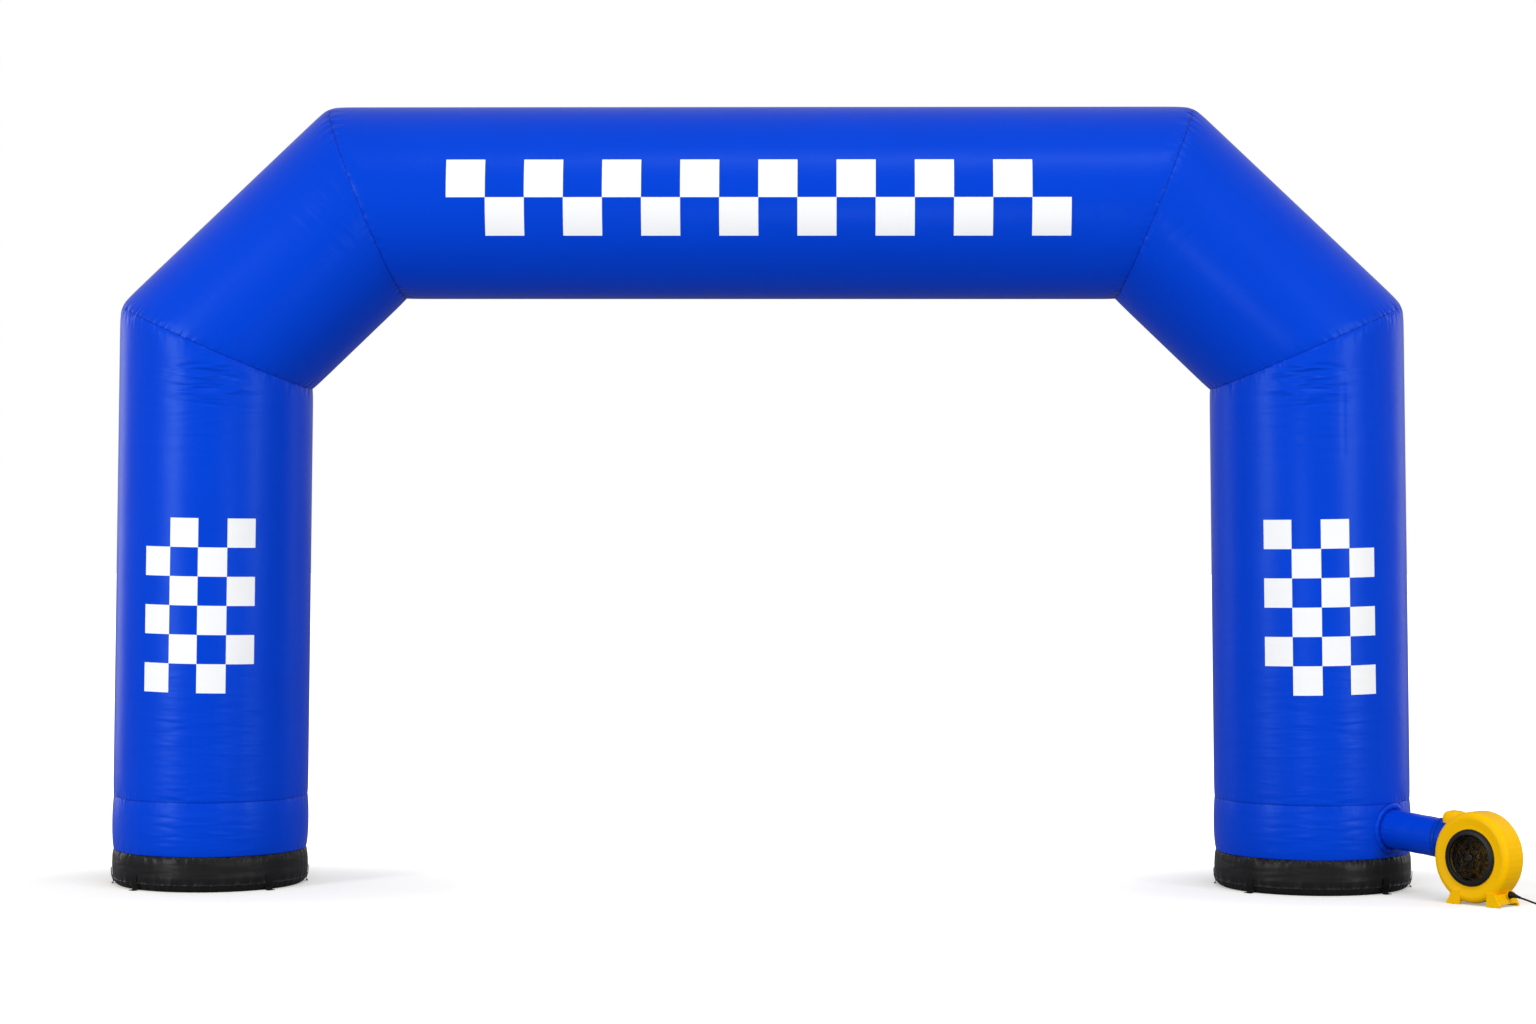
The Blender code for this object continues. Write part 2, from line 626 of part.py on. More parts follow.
def build_inlet(parts, cutters, root, blower, blower_matrix, blue, deep_blue):
    """The sleeve from the leg to the blower's outlet, its collar on the leg and its strap."""
    outlet = blower_matrix @ Vector((THROAT_X - GAP, OUTLET_Y, OUTLET_Z))
    along = (blower_matrix.to_3x3() @ Vector((-1.0, 0.0, 0.0))).normalized()
    aside = Vector((0.0, 0.0, 1.0)).cross(along)
    lean = (SHOULDER[0] - FOOT_X) / SHOULDER[1]
    low, high = Vector((FOOT_X, 0.0, 0.0)), Vector((FOOT_X + lean, 0.0, 1.0))
    wall = solid_rod("leg_wall", LEG_RADIUS + 0.0006, low, high, cutters, root, 96)

    angle = math.radians(INLET_ANGLE)
    outwards = Vector((math.sin(angle), -math.cos(angle), 0.0))
    inlet = Vector((FOOT_X + lean * INLET_Z, 0.0, INLET_Z)) + outwards * LEG_RADIUS
    bend = outlet + along * CUFF_LENGTH
    run = inlet - bend
    slope = run / run.dot(along)
    rings = (CUFF_START, CUFF_LENGTH, 0.11, 0.18, 0.25, 0.32, 0.42)
    bm = ringed_cylinder(32, len(rings))
    for vert in bm.verts:
        distance = rings[round(vert.co.z)]
        centre = outlet + along * distance
        if distance > CUFF_LENGTH:
            centre = bend + slope * (distance - CUFF_LENGTH)
        out = aside * vert.co.x + Vector((0.0, 0.0, vert.co.y))
        vert.co = centre + out * SLEEVE_RADIUS
    sleeve = add_object("inlet_sleeve", mesh_from(bm, "inlet_sleeve"), parts, root, blue)
    bore_start, bore_end = outlet - along * 0.02, outlet + along * (NOZZLE_LENGTH + 0.0005)
    bore = solid_rod("nozzle_bore", NOZZLE_RADIUS + 0.0006, bore_start, bore_end, cutters, root)
    boolean(sleeve, "DIFFERENCE", bore)
    boolean(sleeve, "DIFFERENCE", wall)
    throat_low = (THROAT_X - GAP, THROAT_Y[0] - GAP, 0.15)
    throat_high = (0.0, 0.25, THROAT_Z[1] + GAP)
    boolean(sleeve, "DIFFERENCE", solid_box("throat_room", throat_low, throat_high, cutters, blower))
    drum_front, drum_back = (0.0, -0.03, 0.0), (0.0, 0.25, 0.0)
    room = DRUM_RADIUS + 2 * GAP
    drum_room = solid_rod("drum_room", room, drum_front, drum_back, cutters, blower, 96)
    stretch = Matrix.Diagonal((1.0, 1.0, DRUM_STRETCH, 1.0))
    drum_room.matrix_local = Matrix.Translation((0.0, 0.0, DRUM_Z)) @ stretch
    boolean(sleeve, "DIFFERENCE", drum_room)

    to_outlet = (-run).to_track_quat("Z", "Y").to_matrix().to_4x4()
    sleeve_hole = SLEEVE_RADIUS + 0.0012
    washer = [(sleeve_hole, 0.0), (sleeve_hole, 0.2), (COLLAR_RADIUS, 0.2), (COLLAR_RADIUS, 0.0)]
    place = Matrix.Translation(inlet + run.normalized() * 0.08) @ to_outlet
    collar = turned("inlet_collar", washer, parts, root, blue, place, 32, closed=True)
    thick = LEG_RADIUS + COLLAR_THICKNESS
    limit = solid_rod("collar_limit", thick, low, high, cutters, root, 96)
    boolean(collar, "INTERSECT", limit)
    boolean(collar, "DIFFERENCE", wall)

    inner = SLEEVE_RADIUS + GAP
    strap = [
        (inner, 0.0),
        (inner, STRAP_WIDTH),
        (inner + STRAP_THICKNESS, STRAP_WIDTH),
        (inner + STRAP_THICKNESS, 0.0),
    ]
    square = (-along).to_track_quat("Z", "Y").to_matrix().to_4x4()
    strap_place = Matrix.Translation(outlet + along * (STRAP_WIDTH + 0.006)) @ square
    turned("cuff_strap", strap, parts, root, deep_blue, strap_place, 32, closed=True)


def main():
    """Builds the whole object."""
    clear_scene()
    parts = make_collection(NAME)
    cutters = make_collection("cutters", hidden=True)
    root = make_empty("arch_place", None, Matrix.Translation(ARCH_PLACE))
    place = Matrix.Translation(BLOWER_PLACE) @ Matrix.Rotation(BLOWER_TURN, 4, "Z")
    blower = make_empty("blower_place", root, place)
    blue = make_material("blue_coated_fabric", BLUE, 0.42)
    deep_blue = make_material("dark_blue_strap", DEEP_BLUE, 0.50)
    black_cloth = make_material("black_coated_fabric", BLACK, 0.55)
    yellow = make_material("yellow_moulded_plastic", YELLOW, 0.35)
    black_plastic = make_material("black_moulded_plastic", BLACK, 0.40)
    rubber = make_material("black_rubber", BLACK, 0.60)
    steel = make_material("plated_steel", STEEL, 0.25, 1.0)
    build_tubes(parts, root, blue)
    build_bases(parts, root, black_cloth)
    facing = build_housing(parts, cutters, blower, yellow)
    build_grille(parts, cutters, blower, facing, black_plastic)
    build_inlet(parts, cutters, root, blower, place, blue, deep_blue)
    build_lead(parts, root, blower, rubber, steel)


main()
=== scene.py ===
"""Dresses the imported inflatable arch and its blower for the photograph.

The hard parts of the blower stay as they were packed and get their finishes here. The air-filled
sections, the base, the webbing, the inlet, the grille and the mains lead are modelled finer than
their solids, in the same places.

Metres, +Z up, the front towards -Y. The arch is laid out about the point on the floor midway
between its legs, as in the part's source, and arch_point() carries such a point to the frame.
"""

import logging
import math
from dataclasses import dataclass
from enum import Enum
from typing import Iterable, NamedTuple, Optional, Sequence

import bpy
import numpy as np
from mathutils import Matrix, Vector


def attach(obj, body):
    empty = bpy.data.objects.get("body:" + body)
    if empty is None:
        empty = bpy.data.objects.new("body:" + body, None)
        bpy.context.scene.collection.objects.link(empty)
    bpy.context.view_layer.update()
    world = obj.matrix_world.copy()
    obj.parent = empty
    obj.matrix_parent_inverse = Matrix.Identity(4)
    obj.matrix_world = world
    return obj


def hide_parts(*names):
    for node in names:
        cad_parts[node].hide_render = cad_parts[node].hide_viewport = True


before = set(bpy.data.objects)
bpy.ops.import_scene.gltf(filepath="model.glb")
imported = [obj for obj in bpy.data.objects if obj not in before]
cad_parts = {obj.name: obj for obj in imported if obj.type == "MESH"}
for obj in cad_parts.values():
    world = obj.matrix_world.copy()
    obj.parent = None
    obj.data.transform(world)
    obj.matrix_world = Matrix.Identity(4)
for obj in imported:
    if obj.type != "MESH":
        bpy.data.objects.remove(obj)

LOG = logging.getLogger("arch")
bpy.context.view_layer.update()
BODY = "root"

ARCH_PLACE = Vector((-0.195, 0.235, 0.0))
BLOWER_PLACE = Vector((3.580, -0.842, 0.0))
BLOWER_TURN = math.radians(-43.7)
FRONT = np.array((0.0, -1.0, 0.0))


def arch_point(x: float, y: float, z: float) -> Vector:
    """Carries a point of the arch's layout to the frame."""
    return ARCH_PLACE + Vector((x, y, z))


def blower_matrix() -> Matrix:
    """Places the blower's own layout, its intake towards local -Y, in the frame."""
    return Matrix.Translation(ARCH_PLACE + BLOWER_PLACE) @ Matrix.Rotation(BLOWER_TURN, 4, "Z")


# Shared helpers for meshes


def ripple(angle: np.ndarray, seed: int, low: int, high: int, count: int = 9) -> np.ndarray:
    """Gives an even, seeded unevenness that closes on itself round a circle.

    Args:
        angle: Angles in radians.
        seed: Picks the pattern.
        low: The fewest waves round the circle.
        high: The most waves round the circle.
        count: How many waves are summed.

    Returns:
        Values about 0, mostly between -1 and 1, in the shape of angle.
    """
    chance = np.random.default_rng(seed)
    total = np.zeros_like(angle)
    for _ in range(count):
        total += np.cos(chance.integers(low, high + 1) * angle + chance.uniform(0.0, 2 * math.pi))
    return total / math.sqrt(count)


def smooth_route(points: Sequence[Sequence[float]], spacing: float) -> list[Vector]:
    """Samples one smooth curve through a route's points.

    Args:
        points: The route's points.
        spacing: The distance between samples.

    Returns:
        Evenly spaced points from the first to the last.
    """
    own = np.array([tuple(point) for point in points], dtype=float)
    padded = np.vstack((2 * own[0] - own[1], own, 2 * own[-1] - own[-2]))
    fine = []
    for i in range(1, len(padded) - 2):
        before, here, there, after = padded[i - 1 : i + 3]
        for t in np.linspace(0.0, 1.0, 16, endpoint=False):
            fine.append(
                0.5
                * (
                    2 * here
                    + (there - before) * t
                    + (2 * before - 5 * here + 4 * there - after) * t**2
                    + (3 * here - before - 3 * there + after) * t**3
                )
            )
    fine.append(own[-1])
    fine = np.array(fine)
    travelled = np.concatenate(([0.0], np.cumsum(np.linalg.norm(np.diff(fine, axis=0), axis=1))))
    count = max(2, round(travelled[-1] / spacing) + 1)
    wanted = np.linspace(0.0, travelled[-1], count)
    return [Vector(row) for row in np.column_stack([np.interp(wanted, travelled, fine[:, i])
                                                    for i in range(3)])]


def grid_mesh(
    name: str,
    points: np.ndarray,
    around: bool,
    cloth: Optional[np.ndarray] = None,
    layers: Optional[dict[str, np.ndarray]] = None,
    capped: bool = False,
    along_closed: bool = False,
) -> bpy.types.Mesh:
    """Makes a smooth mesh from a grid of points.

    Args:
        name: The mesh's name.
        points: Rows of points, (rows, columns, 3).
        around: Whether each row closes on itself.
        cloth: Two lengths in metres for each corner, (rows, columns + 1, 2) where rows close.
        layers: Named numbers for each point, (rows, columns).
        capped: Whether the first and last rows are filled.
        along_closed: Whether the last row joins the first.

    Returns:
        The mesh, its faces outwards where rows run anticlockwise seen from the last one.
    """
    rows, columns = points.shape[:2]
    index = np.arange(rows * columns).reshape(rows, columns)
    across = np.arange(columns if around else columns - 1)
    down = np.arange(rows if along_closed else rows - 1)
    row, column = np.meshgrid(down, across, indexing="ij")
    row_next, column_next = (row + 1) % rows, (column + 1) % columns
    quads = np.stack(
        (
            index[row, column],
            index[row, column_next],
            index[row_next, column_next],
            index[row_next, column],
        ),
        axis=-1,
    ).reshape(-1, 4)
    faces = quads.tolist()
    if capped:
        faces.append(index[0, ::-1].tolist())
        faces.append(index[-1].tolist())
    mesh = bpy.data.meshes.new(name)
    mesh.from_pydata(points.reshape(-1, 3).tolist(), [], faces)
    mesh.shade_smooth()
    if cloth is not None:
        layer = mesh.uv_layers.new(name="cloth")
        corners = np.zeros((len(mesh.loops), 2))
        spot = np.stack(
            (
                cloth[row, column],
                cloth[row, column + 1],
                cloth[row + 1, column + 1],
                cloth[row + 1, column],
            ),
            axis=-2,
        ).reshape(-1, 2)
        corners[: len(spot)] = spot
        layer.data.foreach_set("uv", corners.ravel())
    for title, values in (layers or {}).items():
        made = mesh.attributes.new(title, "FLOAT", "POINT")
        made.data.foreach_set("value", values.astype(np.float32).ravel())
    mesh.update()
    return mesh


def sweep(
    points: Sequence[Vector], radii: Sequence[float], sides: int, name: str
) -> bpy.types.Mesh:
    """Carries a circle along a run of points.

    Args:
        points: The middle of the tube.
        radii: Its radius at each point.
        sides: How many sides the tube has.
        name: The mesh's name.

    Returns:
        The closed tube's mesh.
    """
    path = np.array([tuple(point) for point in points])
    heading = np.gradient(path, axis=0)
    heading /= np.linalg.norm(heading, axis=1)[:, None]
    side = np.cross(heading[0], (0.0, 0.0, 1.0))
    if np.linalg.norm(side) < 0.1:
        side = np.cross(heading[0], (1.0, 0.0, 0.0))
    turns = np.linspace(0.0, 2 * math.pi, sides, endpoint=False)
    rows = []
    for middle, ahead, radius in zip(path, heading, radii):
        side = side - ahead * side.dot(ahead)
        side /= np.linalg.norm(side)
        up = np.cross(ahead, side)
        ring = np.outer(np.cos(turns), side) + np.outer(np.sin(turns), up)
        rows.append(middle + radius * ring)
    travelled = np.concatenate(([0.0], np.cumsum(np.linalg.norm(np.diff(path, axis=0), axis=1))))
    arc = np.linspace(0.0, 2 * math.pi * max(radii), sides + 1)
    cloth = np.stack(np.meshgrid(arc, travelled), axis=-1)
    return grid_mesh(name, np.array(rows), True, cloth, capped=True)


def lathe(
    name: str, profile: Sequence[tuple[float, float]], matrix: Matrix, sides: int = 96
) -> bpy.types.Mesh:
    """Turns a closed profile of (radius, height) points about the local Z axis."""
    turns = np.linspace(0.0, 2 * math.pi, sides, endpoint=False)
    rows = np.array(
        [[(r * math.cos(a), r * math.sin(a), height) for a in turns] for r, height in profile]
    )
    mesh = grid_mesh(name, rows, True, along_closed=True)
    mesh.transform(matrix)
    return mesh


def add_piece(
    name: str, mesh: bpy.types.Mesh, look: bpy.types.Material, slot: str, *nodes: str
) -> bpy.types.Object:
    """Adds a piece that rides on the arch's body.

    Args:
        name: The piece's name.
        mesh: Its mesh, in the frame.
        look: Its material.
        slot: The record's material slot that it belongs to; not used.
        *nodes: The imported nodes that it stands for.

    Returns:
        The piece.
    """
    piece = bpy.data.objects.new(name, mesh)
    bpy.context.scene.collection.objects.link(piece)
    mesh.materials.append(look)
    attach(piece, BODY)
    if nodes:
        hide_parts(*nodes)
    LOG.info("%s: %d faces", name, len(mesh.polygons))
    return piece


# Finishes


def linear(hex_colour: str) -> tuple[float, float, float, float]:
    """Turns an sRGB hex colour, such as "0038d0", to linear values with full alpha."""
    parts = [int(hex_colour[i : i + 2], 16) / 255 for i in (0, 2, 4)]
    values = [c / 12.92 if c <= 0.04045 else ((c + 0.055) / 1.055) ** 2.4 for c in parts]
    return (*values, 1.0)


def add_node(
    tree: bpy.types.NodeTree,
    kind: str,
    values: Optional[dict[str, object]] = None,
    links: Optional[dict[object, bpy.types.NodeSocket]] = None,
    **settings: object,
) -> bpy.types.Node:
    """Adds a shader node.

    Args:
        tree: The node tree.
        kind: The node's type.
        values: Values for its sockets, by socket name or number.
        links: Sockets of other nodes that feed its own, by socket name or number.
        **settings: Values for its own properties.

    Returns:
        The node.
    """
    node = tree.nodes.new(kind)
    for title, value in settings.items():
        setattr(node, title, value)
    for socket, value in (values or {}).items():
        node.inputs[socket].default_value = value
    for socket, source in (links or {}).items():
        tree.links.new(source, node.inputs[socket])
    return node


def new_material(name: str, **values: object) -> tuple[bpy.types.Material, bpy.types.Node]:
    """Makes a material with plain numbers on its Principled shader.

    Args:
        name: The material's name.
        **values: Shader values, with underscores for the spaces in their names.

    Returns:
        The material and its Principled shader node.
    """
    look = bpy.data.materials.new(name)
    look.use_nodes = True
    shader = look.node_tree.nodes["Principled BSDF"]
    for title, value in values.items():
        shader.inputs[title.replace("_", " ")].default_value = value
    return look, shader


@dataclass(frozen=True)
class Chequer:
    """A plain two-colour chequer, printed on the cloth's front about its print mark."""

    cell: float
    columns: int
    rows: int


class Blue(Enum):
    """The blues of the coated cloth, as sRGB hex for its lighter and darker parts."""

    ROYAL = ("0041d3", "003dcb")
    CUFF = ("023cc0", "0236b2")


@dataclass(frozen=True)
class CoatedPolyester:
    """Oxford-woven polyester, coated with polyurethane: a satin sheen, threads just felt.

    The coating gives a broad soft highlight. Air pressure keeps the cloth taut, so it shows only
    long shallow waves away from its seams, and short sharp gathers beside them.
    """

    name: str
    colours: tuple[str, str]
    chequer: Optional[Chequer] = None
    roughness: float = 0.32
    gloss: float = 0.11
    thread: float = 0.0012  # threads are 0.4 mm apart, and are drawn 1.2 mm apart so that they show
    seam_line: float = 0.0030  # the needle line is 1 mm wide, and is drawn 3 mm wide to show
    seam_colour: str = "0020a0"
    shine: str = "bcf3ff"  # the pigmented coating tints what it reflects

    def material(self) -> bpy.types.Material:
        """Makes the cloth's material."""
        look, shader = new_material(
            self.name,
            Roughness=self.roughness,
            IOR=1.48,
            Specular_IOR_Level=self.gloss,
            Specular_Tint=linear(self.shine),
        )
        tree = look.node_tree
        place = add_node(tree, "ShaderNodeTexCoord").outputs["Object"]
        cloth = add_node(tree, "ShaderNodeUVMap", uv_map="cloth").outputs["UV"]
        gather = add_node(tree, "ShaderNodeAttribute", attribute_name="gather").outputs["Fac"]
        slack = add_node(tree, "ShaderNodeAttribute", attribute_name="slack").outputs["Fac"]
        tone = add_node(
            tree,
            "ShaderNodeTexNoise",
            {"Scale": 2.2, "Detail": 3.0, "Roughness": 0.55},
            {"Vector": place},
        )
        light, dark = (linear(colour) for colour in self.colours)
        # A Mix node has several sockets of each name, so the colour ones are set by number.
        colour = add_node(
            tree,
            "ShaderNodeMix",
            {6: dark, 7: light},
            {"Factor": tone.outputs["Fac"]},
            data_type="RGBA",
        )
        base = colour.outputs[2]
        if self.chequer:
            base = self._printed(tree, cloth, base)
        base = self._stitched(tree, base)
        tree.links.new(base, shader.inputs["Base Color"])
        relief = self._relief(tree, place, cloth, gather, slack)
        tree.links.new(relief, shader.inputs["Normal"])
        return look

    def _stitched(
        self, tree: bpy.types.NodeTree, base: bpy.types.NodeSocket
    ) -> bpy.types.NodeSocket:
        """Darkens the needle line at each seam."""
        seam = add_node(tree, "ShaderNodeAttribute", attribute_name="seam").outputs["Fac"]
        line = add_node(
            tree,
            "ShaderNodeMapRange",
            {
                "From Min": self.seam_line * 0.4,
                "From Max": self.seam_line * 1.6,
                "To Min": 0.70,
                "To Max": 0.0,
            },
            {"Value": seam},
        )
        dark = add_node(
            tree, "ShaderNodeMix", None, {"Factor": line.outputs["Result"]}, data_type="RGBA"
        )
        tree.links.new(base, dark.inputs[6])
        dark.inputs[7].default_value = linear(self.seam_colour)
        return dark.outputs[2]

    def _printed(
        self,
        tree: bpy.types.NodeTree,
        cloth: bpy.types.NodeSocket,
        base: bpy.types.NodeSocket,
    ) -> bpy.types.NodeSocket:
        """Lays the white chequer over the cloth's colour."""
        print_size = self.chequer
        parts = add_node(tree, "ShaderNodeSeparateXYZ", None, {"Vector": cloth})
        inside = []
        for axis, count in (("X", print_size.columns), ("Y", print_size.rows)):
            away = add_node(
                tree, "ShaderNodeMath", None, {0: parts.outputs[axis]}, operation="ABSOLUTE"
            )
            inside.append(
                add_node(
                    tree,
                    "ShaderNodeMath",
                    {1: print_size.cell * count / 2},
                    {0: away.outputs[0]},
                    operation="LESS_THAN",
                )
            )
        both = add_node(
            tree,
            "ShaderNodeMath",
            None,
            {0: inside[0].outputs[0], 1: inside[1].outputs[0]},
            operation="MULTIPLY",
        )
        squares = add_node(
            tree, "ShaderNodeTexChecker", {"Scale": 1.0 / print_size.cell}, {"Vector": cloth}
        )
        mask = add_node(
            tree,
            "ShaderNodeMath",
            None,
            {0: both.outputs[0], 1: squares.outputs["Fac"]},
            operation="MULTIPLY",
        )
        ink = add_node(tree, "ShaderNodeMix", None, {"Factor": mask.outputs[0]}, data_type="RGBA")
        tree.links.new(base, ink.inputs[6])
        ink.inputs[7].default_value = linear("f4f5f7")
        return ink.outputs[2]

    def _relief(
        self,
        tree: bpy.types.NodeTree,
        place: bpy.types.NodeSocket,
        cloth: bpy.types.NodeSocket,
        gather: bpy.types.NodeSocket,
        slack: bpy.types.NodeSocket,
    ) -> bpy.types.NodeSocket:
        """Bumps the cloth with its waves, its creases, the gathers at its seams and its threads."""
        swell = add_node(
            tree,
            "ShaderNodeTexNoise",
            {"Scale": 3.0, "Detail": 2.0, "Roughness": 0.4, "Distortion": 0.2},
            {"Vector": place},
        )
        waves = add_node(
            tree,
            "ShaderNodeBump",
            {"Strength": 0.5, "Distance": 0.010},
            {"Height": swell.outputs["Fac"]},
        )
        # Creases lie across the section, 44 mm apart and some 240 mm long, where the cloth is slack.
        creases = self._grain(tree, cloth, (0.240, 0.044), 1.0)
        folded = self._weighed(tree, creases, slack, 0.0090, waves.outputs["Normal"])
        # Gathers lie across the seam, 36 mm apart along it and some 60 mm long.
        puckers = self._grain(tree, cloth, (0.036, 0.120), 1.0)
        gathered = self._weighed(tree, puckers, gather, 0.0160, folded)
        threads = add_node(
            tree,
            "ShaderNodeMapping",
            {"Scale": (1 / self.thread, 1 / self.thread, 1.0)},
            {"Vector": cloth},
        )
        weave = add_node(
            tree,
            "ShaderNodeTexChecker",
            {"Scale": 1.0},
            {"Vector": threads.outputs["Vector"]},
        )
        woven = add_node(
            tree,
            "ShaderNodeBump",
            {"Strength": 0.10, "Distance": 0.0002},
            {"Height": weave.outputs["Fac"], "Normal": gathered},
        )
        return woven.outputs["Normal"]

    def _grain(
        self,
        tree: bpy.types.NodeTree,
        cloth: bpy.types.NodeSocket,
        lengths: tuple[float, float],
        detail: float,
    ) -> bpy.types.NodeSocket:
        """Makes noise whose features have the given lengths across and along the section."""
        stretched = add_node(
            tree,
            "ShaderNodeMapping",
            {"Scale": (1 / lengths[0], 1 / lengths[1], 1.0)},
            {"Vector": cloth},
        )
        grain = add_node(
            tree,
            "ShaderNodeTexNoise",
            {"Scale": 1.0, "Detail": detail, "Roughness": 0.5, "Distortion": 0.25},
            {"Vector": stretched.outputs["Vector"]},
        )
        return grain.outputs["Fac"]

    def _weighed(
        self,
        tree: bpy.types.NodeTree,
        height: bpy.types.NodeSocket,
        weight: bpy.types.NodeSocket,
        depth: float,
        normal: bpy.types.NodeSocket,
    ) -> bpy.types.NodeSocket:
        """Bumps a normal by a height about its own middle, times a weight.

        Args:
            tree: The material's node tree.
            height: Noise between 0 and 1.
            weight: How strongly it shows at each point.
            depth: Its full depth in metres.
            normal: The normal that it is laid on.

        Returns:
            The bumped normal.
        """
        about_middle = add_node(
            tree, "ShaderNodeMath", {1: 0.5}, {0: height}, operation="SUBTRACT"
        )
        scaled = add_node(
            tree,
            "ShaderNodeMath",
            None,
            {0: about_middle.outputs[0], 1: weight},
            operation="MULTIPLY",
        )
        bumped = add_node(
            tree,
            "ShaderNodeBump",
            {"Strength": 1.0, "Distance": depth},
            {"Height": scaled.outputs[0], "Normal": normal},
        )
        return bumped.outputs["Normal"]


@dataclass(frozen=True)
class PolyesterWebbing:
    """Flat woven polyester webbing: matt, with a fine rib across its width."""

    name: str
    colour: str
    rib: float = 0.0030  # ribs are 1.5 mm apart, and are drawn 3 mm apart so that they show

    def material(self) -> bpy.types.Material:
        """Makes the webbing's material."""
        look, shader = new_material(
            self.name, Base_Color=linear(self.colour), Roughness=0.72, Specular_IOR_Level=0.2
        )
        tree = look.node_tree
        cloth = add_node(tree, "ShaderNodeUVMap", uv_map="cloth").outputs["UV"]
        spread = add_node(
            tree,
            "ShaderNodeMapping",
            {"Scale": (0.5 / self.rib, 1 / self.rib, 1.0)},
            {"Vector": cloth},
        )
        ribs = add_node(
            tree,
            "ShaderNodeTexWave",
            {"Scale": 0.32, "Distortion": 1.0, "Detail": 1.0},
            {"Vector": spread.outputs["Vector"]},
            bands_direction="Y",
        )
        raised = add_node(
            tree,
            "ShaderNodeBump",
            {"Strength": 0.5, "Distance": 0.0006},
            {"Height": ribs.outputs["Fac"]},
        )
        tree.links.new(raised.outputs["Normal"], shader.inputs["Normal"])
        return look


